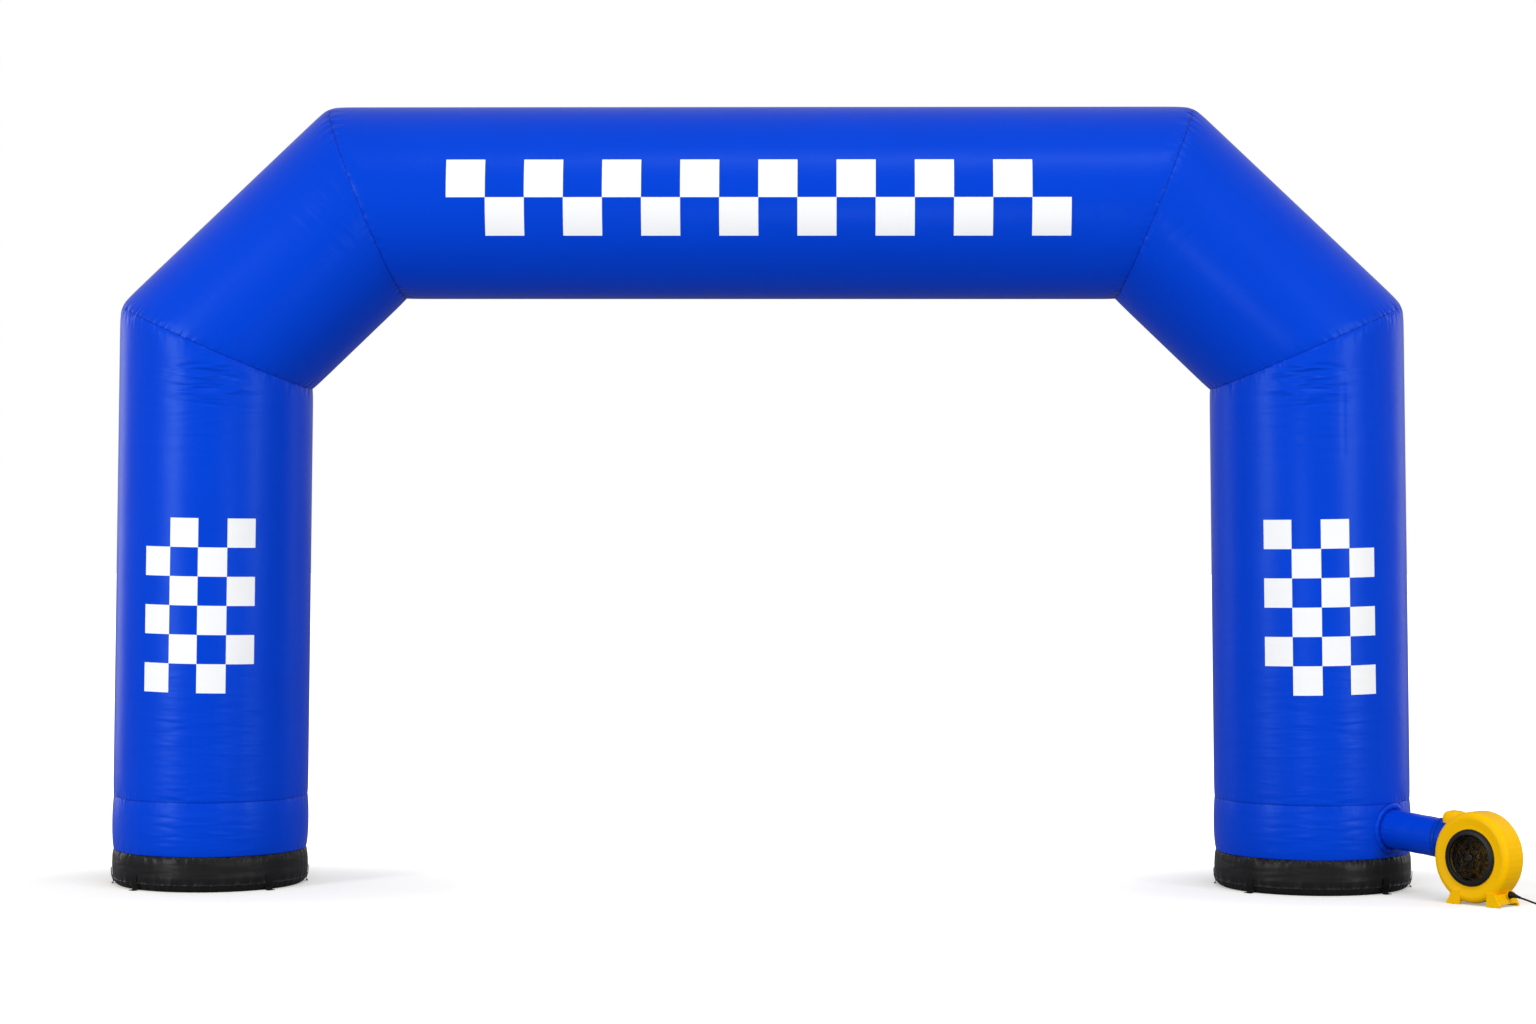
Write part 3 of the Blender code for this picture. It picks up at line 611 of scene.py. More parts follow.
@dataclass(frozen=True)
class MouldedPlastic:
    """Moulded polyethylene or ABS: even colour, rounded edges, a faint orange-peel skin."""

    name: str
    colours: tuple[str, str]
    roughness: float
    peel: float = 0.004  # the skin's unevenness, 4 mm across
    relief: float = 0.00012
    edge: float = 0.004
    gloss: float = 0.35
    # The radius and axis height of the blower's hollow, where shade and glints are painted.
    dark_inside: Optional[tuple[float, float]] = None

    def material(self) -> bpy.types.Material:
        """Makes the plastic's material."""
        look, shader = new_material(
            self.name, Roughness=self.roughness, IOR=1.50, Specular_IOR_Level=self.gloss
        )
        tree = look.node_tree
        place = add_node(tree, "ShaderNodeTexCoord").outputs["Object"]
        stain = add_node(
            tree,
            "ShaderNodeTexNoise",
            {"Scale": 9.0, "Detail": 5.0, "Roughness": 0.6},
            {"Vector": place},
        )
        colour = add_node(
            tree, "ShaderNodeMix", None, {"Factor": stain.outputs["Fac"]}, data_type="RGBA"
        )
        colour.inputs[6].default_value = linear(self.colours[0])
        colour.inputs[7].default_value = linear(self.colours[1])
        base = colour.outputs[2]
        if self.dark_inside:
            base = self._dark_inside(tree, place, base)
        tree.links.new(base, shader.inputs["Base Color"])
        rounded = add_node(tree, "ShaderNodeBevel", {"Radius": self.edge}, samples=4)
        skin = add_node(
            tree,
            "ShaderNodeTexNoise",
            {"Scale": 1 / self.peel, "Detail": 1.0},
            {"Vector": place},
        )
        bump = add_node(
            tree,
            "ShaderNodeBump",
            {"Strength": 0.6, "Distance": self.relief},
            {"Height": skin.outputs["Fac"], "Normal": rounded.outputs["Normal"]},
        )
        tree.links.new(bump.outputs["Normal"], shader.inputs["Normal"])
        return look

    def _dark_inside(
        self,
        tree: bpy.types.NodeTree,
        place: bpy.types.NodeSocket,
        base: bpy.types.NodeSocket,
    ) -> bpy.types.NodeSocket:
        """Paints shade into the blower's hollow, near black, but for painted glints: broken rings of
        light that the fan would throw back.

        Args:
            tree: The material's node tree.
            place: Positions in the frame.
            base: The plastic's own colour.

        Returns:
            The colour, changed only within the hollow's radius behind the drum's face.
        """
        radius, axis_height = self.dark_inside
        matrix = blower_matrix()
        own = add_node(
            tree,
            "ShaderNodeMapping",
            {"Location": matrix.translation, "Rotation": matrix.to_euler()},
            {"Vector": place},
            vector_type="TEXTURE",
        )
        centred = add_node(
            tree,
            "ShaderNodeVectorMath",
            {1: (0.0, 0.0, axis_height)},
            {0: own.outputs["Vector"]},
            operation="SUBTRACT",
        )
        flat = add_node(
            tree,
            "ShaderNodeVectorMath",
            {1: (1.0, 0.0, 1.0)},
            {0: centred.outputs["Vector"]},
            operation="MULTIPLY",
        )
        away = add_node(
            tree,
            "ShaderNodeVectorMath",
            None,
            {0: flat.outputs["Vector"]},
            operation="LENGTH",
        )
        within = add_node(
            tree,
            "ShaderNodeMath",
            {1: radius},
            {0: away.outputs["Value"]},
            operation="LESS_THAN",
        )
        depth = add_node(tree, "ShaderNodeSeparateXYZ", None, {"Vector": own.outputs["Vector"]})
        behind = add_node(
            tree,
            "ShaderNodeMath",
            {1: 0.0125},
            {0: depth.outputs["Y"]},
            operation="GREATER_THAN",
        )
        ahead = add_node(
            tree, "ShaderNodeMath", {1: 0.160}, {0: depth.outputs["Y"]}, operation="LESS_THAN"
        )
        both = add_node(
            tree,
            "ShaderNodeMath",
            None,
            {0: within.outputs[0], 1: behind.outputs[0]},
            operation="MULTIPLY",
        )
        mask = add_node(
            tree,
            "ShaderNodeMath",
            None,
            {0: both.outputs[0], 1: ahead.outputs[0]},
            operation="MULTIPLY",
        )
        # Painted glints: rings 9 mm apart, broken into short bright arcs.
        rings = add_node(
            tree,
            "ShaderNodeTexWave",
            {"Scale": 35.0},
            {"Vector": flat.outputs["Vector"]},
            wave_type="RINGS",
            rings_direction="SPHERICAL",
        )
        glints = add_node(
            tree, "ShaderNodeTexNoise", {"Scale": 50.0, "Detail": 1.0}, {"Vector": place}
        )
        broken = add_node(
            tree,
            "ShaderNodeMath",
            None,
            {0: rings.outputs["Fac"], 1: glints.outputs["Fac"]},
            operation="MULTIPLY",
        )
        bright = add_node(
            tree,
            "ShaderNodeMapRange",
            {"From Min": 0.34, "From Max": 0.52},
            {"Value": broken.outputs[0]},
        )
        # Painted shade, near black, and painted glints, gold, stand in for the hollow's lit yellow
        # plastic.
        inside = add_node(
            tree,
            "ShaderNodeMix",
            {6: linear("1e1606"), 7: linear("d8a010")},
            {"Factor": bright.outputs["Result"]},
            data_type="RGBA",
        )
        # Lays the painted shade and glints over the plastic's own colour within the hollow.
        hollow_shade_and_glints = add_node(
            tree,
            "ShaderNodeMix",
            None,
            {"Factor": mask.outputs[0], 6: base, 7: inside.outputs[2]},
            data_type="RGBA",
        )
        return hollow_shade_and_glints.outputs[2]


@dataclass(frozen=True)
class MouldedRubber:
    """Extruded or moulded rubber: dull black, with a soft grey bloom where it was handled."""

    name: str = "moulded_rubber"

    def material(self) -> bpy.types.Material:
        """Makes the rubber's material."""
        look, shader = new_material(
            self.name, Roughness=0.50, IOR=1.52, Specular_IOR_Level=0.25
        )
        tree = look.node_tree
        place = add_node(tree, "ShaderNodeTexCoord").outputs["Object"]
        bloom = add_node(
            tree,
            "ShaderNodeTexNoise",
            {"Scale": 60.0, "Detail": 4.0},
            {"Vector": place},
        )
        colour = add_node(
            tree, "ShaderNodeMix", None, {"Factor": bloom.outputs["Fac"]}, data_type="RGBA"
        )
        colour.inputs[6].default_value = linear("040405")
        colour.inputs[7].default_value = linear("0b0b0c")
        tree.links.new(colour.outputs[2], shader.inputs["Base Color"])
        bump = add_node(
            tree,
            "ShaderNodeBump",
            {"Strength": 0.3, "Distance": 0.0002},
            {"Height": bloom.outputs["Fac"]},
        )
        tree.links.new(bump.outputs["Normal"], shader.inputs["Normal"])
        return look


@dataclass(frozen=True)
class PlatedSteel:
    """Nickel-plated steel pins: bright, with fine turning marks."""

    name: str = "nickel_plated_steel"

    def material(self) -> bpy.types.Material:
        """Makes the pins' material."""
        look, shader = new_material(self.name, Metallic=1.0, Base_Color=linear("d9d6cf"))
        tree = look.node_tree
        place = add_node(tree, "ShaderNodeTexCoord").outputs["Object"]
        marks = add_node(
            tree, "ShaderNodeTexNoise", {"Scale": 900.0, "Detail": 2.0}, {"Vector": place}
        )
        rough = add_node(
            tree,
            "ShaderNodeMapRange",
            {"To Min": 0.18, "To Max": 0.34},
            {"Value": marks.outputs["Fac"]},
        )
        tree.links.new(rough.outputs["Result"], shader.inputs["Roughness"])
        return look


@dataclass(frozen=True)
class StudioPaper:
    """Matt white background paper, lit to pure white but for the soft shadows on it.

    The paper shows white, and for the light that it throws back it counts as grey, as it does
    when black flags stand just outside the picture. Away from the two bases it glows full white;
    near them it glows less, so that their shadows show.
    """

    name: str = "studio_paper"
    near_glow: float = 0.28
    near: float = 0.55
    far: float = 1.9
    leg_x: float = 2.95
    width_share: float = 0.60

    def material(self) -> bpy.types.Material:
        """Makes the paper's material."""
        look, shader = new_material(
            self.name, Roughness=0.9, Specular_IOR_Level=0.0, Base_Color=linear("f2f0e9")
        )
        tree = look.node_tree
        shader.inputs["Emission Color"].default_value = (1.0, 1.0, 1.0, 1.0)
        place = add_node(tree, "ShaderNodeTexCoord").outputs["Object"]
        mirrored = add_node(
            tree, "ShaderNodeVectorMath", None, {0: place}, operation="ABSOLUTE"
        )
        centred = add_node(
            tree,
            "ShaderNodeVectorMath",
            {1: (self.leg_x, 0.0, 0.0)},
            {0: mirrored.outputs["Vector"]},
            operation="SUBTRACT",
        )
        narrowed = add_node(
            tree,
            "ShaderNodeVectorMath",
            {1: (self.width_share, 1.0, 0.0)},
            {0: centred.outputs["Vector"]},
            operation="MULTIPLY",
        )
        away = add_node(
            tree, "ShaderNodeVectorMath", None, {0: narrowed.outputs["Vector"]}, operation="LENGTH"
        )
        glow = add_node(
            tree,
            "ShaderNodeMapRange",
            {
                "From Min": self.near,
                "From Max": self.far,
                "To Min": self.near_glow,
                "To Max": 1.0,
            },
            {"Value": away.outputs["Value"]},
            interpolation_type="SMOOTHSTEP",
        )
        tree.links.new(glow.outputs["Result"], shader.inputs["Emission Strength"])
        seen = add_node(tree, "ShaderNodeLightPath").outputs["Is Camera Ray"]
        grey = add_node(tree, "ShaderNodeBsdfDiffuse", {"Color": linear("989898")})
        either = add_node(
            tree,
            "ShaderNodeMixShader",
            None,
            {0: seen, 1: grey.outputs["BSDF"], 2: shader.outputs["BSDF"]},
        )
        output = tree.nodes["Material Output"]
        tree.links.new(either.outputs["Shader"], output.inputs["Surface"])
        return look


# Camera and studio


@dataclass(frozen=True)
class Studio:
    """The camera, the paper floor and the soft lights."""

    camera_place: tuple[float, float, float] = (0.4089, -19.5633, 2.34)
    yaw: float = -1.075
    pitch: float = -1.129
    roll: float = -0.046
    focal_pixels: float = 3725.57
    image_width: int = 1536
    sensor: float = 36.0
    lights: tuple[tuple, ...] = (
        ("left_tall_box", (-11.0, -9.0, 3.6), (-2.5, 0.0, 2.4), (2.5, 6.5), 840.0),
        ("right_tall_box", (11.0, -9.0, 3.6), (2.5, 0.0, 2.4), (2.5, 6.5), 580.0),
        ("high_box", (2.0, -7.7, 12.6), (1.0, 0.0, 3.0), (9.0, 1.6), 440.0),
        ("blower_box", (0.6, -8.0, 1.4), (3.7, -0.6, 0.3), (1.2, 1.2), 60.0),
        ("left_edge_strip", (-9.0, 5.5, 2.5), (-2.5, 0.0, 2.2), (3.0, 5.0), 70.0),
        ("right_edge_strip", (9.0, 5.5, 2.5), (2.5, 0.0, 2.2), (3.0, 5.0), 50.0),
    )

    def build_camera(self) -> None:
        """Adds the camera at the photograph's viewpoint."""
        data = bpy.data.cameras.new("camera")
        data.sensor_width = self.sensor
        data.lens = self.focal_pixels / self.image_width * self.sensor
        data.clip_end = 200.0
        camera = bpy.data.objects.new("camera", data)
        bpy.context.scene.collection.objects.link(camera)
        turn = Matrix.Rotation(-math.radians(self.yaw), 4, "Z")
        turn = turn @ Matrix.Rotation(math.pi / 2 + math.radians(self.pitch), 4, "X")
        turn = turn @ Matrix.Rotation(-math.radians(self.roll), 4, "Z")
        camera.matrix_world = Matrix.Translation(arch_point(*self.camera_place)) @ turn
        bpy.context.scene.camera = camera

    def build_floor(self) -> None:
        """Rolls out the paper under and behind the arch."""
        reach = np.linspace(-45.0, 45.0, 3)
        points = np.array([[(x, y, -0.0002) for x in reach] for y in reach])
        floor = bpy.data.objects.new("studio_floor", grid_mesh("studio_floor", points, False))
        bpy.context.scene.collection.objects.link(floor)
        floor.data.materials.append(StudioPaper().material())

    def add_light(
        self,
        name: str,
        place: tuple[float, float, float],
        target: tuple[float, float, float],
        size: tuple[float, float],
        power: float,
    ) -> None:
        """Adds a soft rectangular light.

        Args:
            name: The light's name.
            place: Where it hangs.
            target: What it points at.
            size: Its width and height.
            power: Its power in watts.
        """
        data = bpy.data.lights.new(name, "AREA")
        data.shape = "RECTANGLE"
        data.size, data.size_y = size
        data.energy = power
        light = bpy.data.objects.new(name, data)
        bpy.context.scene.collection.objects.link(light)
        heading = Vector(target) - Vector(place)
        light.matrix_world = (
            Matrix.Translation(place) @ heading.to_track_quat("-Z", "Y").to_matrix().to_4x4()
        )

    def build_lights(self) -> None:
        """Adds the white surround and the softboxes."""
        world = bpy.data.worlds.new("white_surround")
        world.use_nodes = True
        tree = world.node_tree
        plain = tree.nodes["Background"]
        plain.inputs["Color"].default_value = (1.0, 1.0, 1.0, 1.0)
        plain.inputs["Strength"].default_value = 0.55
        white = add_node(tree, "ShaderNodeBackground", {"Strength": 1.0})
        white.inputs["Color"].default_value = (1.0, 1.0, 1.0, 1.0)
        seen = add_node(tree, "ShaderNodeLightPath").outputs["Is Camera Ray"]
        either = add_node(
            tree,
            "ShaderNodeMixShader",
            None,
            {0: seen, 1: plain.outputs["Background"], 2: white.outputs["Background"]},
        )
        output = tree.nodes["World Output"]
        tree.links.new(either.outputs["Shader"], output.inputs["Surface"])
        bpy.context.scene.world = world
        for title, place, target, size, power in self.lights:
            self.add_light(title, place, target, size, power)


# The mains lead


@dataclass
class MainsLead:
    """The rubber-sheathed lead from the blower, its spare length coiled beside the view."""

    radius: float = 0.005
    coil_centre: tuple[float, float] = (4.0287, -0.8817)
    turn_radii: tuple[float, ...] = (0.065, 0.055, 0.045, 0.045, 0.055, 0.065, 0.065)
    turns: float = 5.9
    first_angle: float = -62.0
    route: tuple[tuple[float, float, float], ...] = (
        (3.8162, -0.9364, 0.0508),
        (3.8427, -0.9587, 0.0430),
        (3.8687, -0.9707, 0.0335),
        (3.8967, -0.9787, 0.0243),
        (3.9267, -0.9827, 0.0160),
        (3.9567, -0.9817, 0.0098),
        (3.9867, -0.9757, 0.0060),
        (4.0127, -0.9662, 0.0050),
        (4.0252, -0.9602, 0.0050),
    )
    tail: tuple[tuple[float, float, float], ...] = (
        (4.0420, -0.9530, 0.0160),
        (4.0597, -0.9542, 0.0130),
        (4.0837, -0.9537, 0.0090),
        (4.1067, -0.9467, 0.0075),
        (4.1257, -0.9327, 0.0105),
        (4.1362, -0.9117, 0.0165),
        (4.1377, -0.8917, 0.0185),
    )

    def coil(self) -> list[Vector]:
        """Winds the coil inwards on the floor and outwards again on top of itself."""
        points = []
        for step in range(round(self.turns * 20) + 1):
            turn = min(step / 20, self.turns)
            whole = min(int(turn), len(self.turn_radii) - 2)
            share = min(1.0, max(0.0, (turn - whole - 0.72) / 0.28))
            share = share * share * (3 - 2 * share)
            here, there = self.turn_radii[whole : whole + 2]
            radius = here + (there - here) * share
            climb = min(1.0, max(0.0, (turn - 2.72) / 0.28))
            height = self.radius * (1.0 + 2.0 * climb * climb * (3 - 2 * climb))
            angle = math.radians(self.first_angle) + 2 * math.pi * turn
            x = self.coil_centre[0] + radius * math.cos(angle)
            y = self.coil_centre[1] + radius * math.sin(angle)
            points.append(Vector((x, y, height)))
        return points

    def build(self, rubber: bpy.types.Material) -> None:
        """Builds the lead as one tube and logs its length."""
        run = [arch_point(*p) for p in (*self.route, *self.coil(), *self.tail)]
        path = smooth_route(run, 0.008)
        length = sum((there - here).length for here, there in zip(path, path[1:]))
        mesh = sweep(path, [self.radius] * len(path), 12, "mains_lead")
        lead = add_piece(
            "mains_lead", mesh, rubber, "black_rubber", "cord_lead", "cord_coil", "cord_tail"
        )
        tuple(path[0])
        [tuple(point) for point in path]
        LOG.info("mains lead: %.2f m", length)


# The air-filled sections


class Seam(NamedTuple):
    """The plane that a section ends in, how far it draws the cloth in, and how it gathers it."""

    normal: Vector
    outer_inset: float
    inner_inset: float
    gather: float
    depth: float
    seed: int


class Patch(NamedTuple):
    """A patch of a section's cloth: its middle, measured round the section from the front towards
    the arch's middle and along it from its start, its half sizes and how strongly it shows.
    """

    inwards: float
    level: float
    half_width: float
    half_height: float
    weight: float


@dataclass
class TubeSection:
    """A straight air-filled section between two sewn seams."""

    name: str
    start: tuple[float, float]
    end: tuple[float, float]
    radii: tuple[float, float]
    seams: tuple[Seam, Seam]
    folds: Sequence[Patch] = ()
    creases: Sequence[Patch] = ()
    bulge: float = 0.0
    print_mark: float = 0.0
    sides: int = 320
    step: float = 0.022
    reach: float = 0.028
    spacing: tuple[float, ...] = (
        0.0, 0.002, 0.005, 0.009, 0.014, 0.020, 0.028, 0.038, 0.050, 0.064, 0.080, 0.098,
    )

    def _shares(self, length: float) -> np.ndarray:
        """Places the rings, close together beside each seam, as shares of the length."""
        close = np.array(self.spacing)
        middle_length = length - 2 * (close[-1] + self.step)
        middle = np.array([])
        if middle_length > 0:
            count = max(2, round(middle_length / self.step) + 1)
            middle = np.linspace(close[-1] + self.step, length - close[-1] - self.step, count)
        else:
            close = close[close < length / 2 - 0.004]
        return np.concatenate((close, middle, length - close[::-1])) / length

    def mesh(self) -> bpy.types.Mesh:
        """Shapes the section: drawn in and gathered at its seams, with its soft folds."""
        start = np.array((self.start[0], 0.0, self.start[1]))
        end = np.array((self.end[0], 0.0, self.end[1]))
        length = float(np.linalg.norm(end - start))
        along = (end - start) / length
        outward = np.array((-along[2], 0.0, along[0]))
        if outward.dot((start + end) / 2 - np.array((0.0, 0.0, 1.5))) < 0.0:
            outward = -outward
        slopes = [-outward.dot(seam.normal) / along.dot(seam.normal) for seam in self.seams]
        share = self._shares(length)[:, None]
        angle = (-math.pi / 2 + np.linspace(0.0, 2 * math.pi, self.sides, endpoint=False))[None, :]
        radius = self.radii[0] + (self.radii[1] - self.radii[0]) * share + 0.0 * angle
        out_share = np.cos(angle)
        slope = slopes[0] + (slopes[1] - slopes[0]) * share
        here_length = length + self.radii[0] * out_share * (slopes[1] - slopes[0])
        gather = np.zeros_like(radius)
        nearest = np.full_like(radius, 9.0)
        for seam, distance in zip(self.seams, (share * here_length, (1 - share) * here_length)):
            inset = seam.inner_inset + (seam.outer_inset - seam.inner_inset) * (1 + out_share) / 2
            pull = ripple(angle, seam.seed, 24, 72) * seam.depth
            own = ripple(angle, seam.seed + 7 + len(self.name), 18, 60) * seam.depth
            outermost = np.where(out_share > 0, out_share, -0.55 * out_share)
            tight = 0.25 + 0.75 * np.clip((outermost - 0.35) / 0.5, 0.0, 1.0)
            radius = radius - inset * np.exp(-distance / self.reach)
            radius = radius + pull * tight * np.exp(-distance / 0.025)
            radius = radius + own * tight * distance / 0.02 * np.exp(-distance / 0.02)
            gather = gather + seam.gather * tight * np.exp(-distance / 0.026)
            nearest = np.minimum(nearest, distance + 0.0 * angle)
        arc = self.radii[0] * (angle - math.pi / 2)
        level = share * length + radius * out_share * slope
        radius = radius + self.bulge * np.sin(math.pi * share)
        inwards = -self.radii[0] * np.arctan2(out_share, np.sin(angle))
        slack = np.full_like(radius, 0.10)
        for fold in self.folds:
            beside = (inwards - fold.inwards) / fold.half_width
            over = (level - fold.level) / fold.half_height
            slack = slack + fold.weight * np.exp(-(beside**2) - over**2)
        for crease in self.creases:
            beside = (inwards - crease.inwards) / crease.half_width
            over = (level - crease.level) / crease.half_height
            radius = radius - crease.weight * np.exp(-(beside**2) - over**8)
        out = radius * out_share
        level = share * length + out * slope
        points = (
            start
            + level[..., None] * along
            + out[..., None] * outward
            + (radius * np.sin(angle))[..., None] * FRONT
        )
        corner_arc = self.radii[0] * np.linspace(-math.pi, math.pi, self.sides + 1)[None, :]
        corner_level = np.concatenate((level, level[:, :1]), axis=1) - self.print_mark
        cloth = np.stack(np.broadcast_arrays(corner_arc, corner_level), axis=-1)
        points = points + np.array(ARCH_PLACE)
        if np.cross(outward, FRONT).dot(along) < 0:
            points, cloth = points[:, ::-1], cloth[:, ::-1]
            points = np.roll(points, 1, axis=1)
            gather, nearest, slack = (
                np.roll(layer[:, ::-1], 1, axis=1) for layer in (gather, nearest, slack)
            )
        layers = {"gather": gather, "seam": nearest, "slack": slack}
        return grid_mesh(self.name, points, True, cloth, layers)


@dataclass
class Arch:
    """The five tube sections and the two lower bands."""

    tube_radius: float = 0.502
    leg_radius: float = 0.5085
    mitre_radius: float = 0.5050
    foot_x: float = 2.903
    shoulder: tuple[float, float] = (2.858, 2.817)
    top_bend: tuple[float, float] = (2.060, 3.574)
    ring_seam_z: float = 0.464
    base_top_z: float = 0.184
    beam_print: Chequer = Chequer(cell=0.20, columns=2, rows=16)
    leg_print: Chequer = Chequer(cell=0.15, columns=4, rows=6)
    leg_print_z: float = 1.48
    leg_folds: tuple[Patch, ...] = (
        Patch(0.05, 2.19, 0.17, 0.12, 4.5),
        Patch(0.02, 1.95, 0.22, 0.18, 0.5),
        Patch(0.02, 0.40, 0.30, 0.26, 0.4),
        Patch(0.05, 0.03, 0.26, 0.05, 1.0),
    )
    leg_creases: tuple[Patch, ...] = (Patch(-0.128, 1.99, 0.010, 0.20, 0.0016),)
    band_folds: tuple[Patch, ...] = (
        Patch(0.02, 0.13, 0.30, 0.13, 0.8),
    )
    diagonal_folds: tuple[Patch, ...] = (
        Patch(0.05, 0.95, 0.20, 0.16, 0.8),
    )

    def sections(self) -> Iterable[tuple[TubeSection, Optional[Chequer]]]:
        """Lays out every section with the print that it carries."""
        level = Vector((0.0, 0.0, 1.0))
        lean = (self.shoulder[0] - self.foot_x) / self.shoulder[1]
        bends = []
        for side, sign in (("left", -1.0), ("right", 1.0)):
            seed = 100 if sign < 0 else 200
            ring = Seam(level, 0.0030, 0.0030, 0.8, 0.0005, seed + 1)
            foot_seam = Seam(level, 0.007, 0.007, 1.3, 0.0010, seed + 2)
            foot = Vector((sign * self.foot_x, 0.0, 0.0))
            shoulder = Vector((sign * self.shoulder[0], 0.0, self.shoulder[1]))
            bend = Vector((sign * self.top_bend[0], 0.0, self.top_bend[1]))
            up_leg = (shoulder - foot).normalized()
            up_slant = (bend - shoulder).normalized()
            low = Seam(up_leg + up_slant, 0.013, 0.003, 3.0, 0.0009, seed + 3)
            high = Seam(up_slant - Vector((sign, 0.0, 0.0)), 0.013, 0.003, 3.0, 0.0009, seed + 4)
            band_top = (foot.x + sign * lean * self.ring_seam_z, self.ring_seam_z)
            band_foot = (foot.x + sign * lean * self.base_top_z, self.base_top_z)
            bends.append(((bend.x, bend.z), high))
            radii = (self.leg_radius, self.leg_radius)
            yield TubeSection(
                f"lower_band_{side}",
                band_foot,
                band_top,
                radii,
                (foot_seam, ring),
                self.band_folds,
                bulge=0.004,
            ), None
            yield TubeSection(
                f"leg_{side}",
                band_top,
                (shoulder.x, shoulder.z),
                (self.leg_radius, self.mitre_radius),
                (ring, low),
                self.leg_folds,
                self.leg_creases if side == "right" else (),
                print_mark=self.leg_print_z - self.ring_seam_z,
            ), self.leg_print
            yield TubeSection(
                f"diagonal_{side}",
                (shoulder.x, shoulder.z),
                (bend.x, bend.z),
                (self.mitre_radius, self.tube_radius),
                (low, high),
                self.diagonal_folds,
            ), None
        (start, left_seam), (end, right_seam) = bends
        radii = (self.tube_radius, self.tube_radius)
        yield TubeSection(
            "beam",
            start,
            end,
            radii,
            (left_seam, right_seam),
            print_mark=self.top_bend[0],
            step=0.034,
        ), self.beam_print

    def build(self) -> None:
        """Builds and dresses the sections."""
        plain = CoatedPolyester("polyester_coated_royal_blue", Blue.ROYAL.value).material()
        printed = {
            design: CoatedPolyester(
                f"polyester_coated_royal_blue_{name}_print", Blue.ROYAL.value, design
            ).material()
            for name, design in (("beam", self.beam_print), ("leg", self.leg_print))
        }
        for section, design in self.sections():
            look = printed[design] if design else plain
            piece = add_piece(
                f"{section.name}_cloth", section.mesh(), look, "blue_fabric", section.name
            )


# The bases


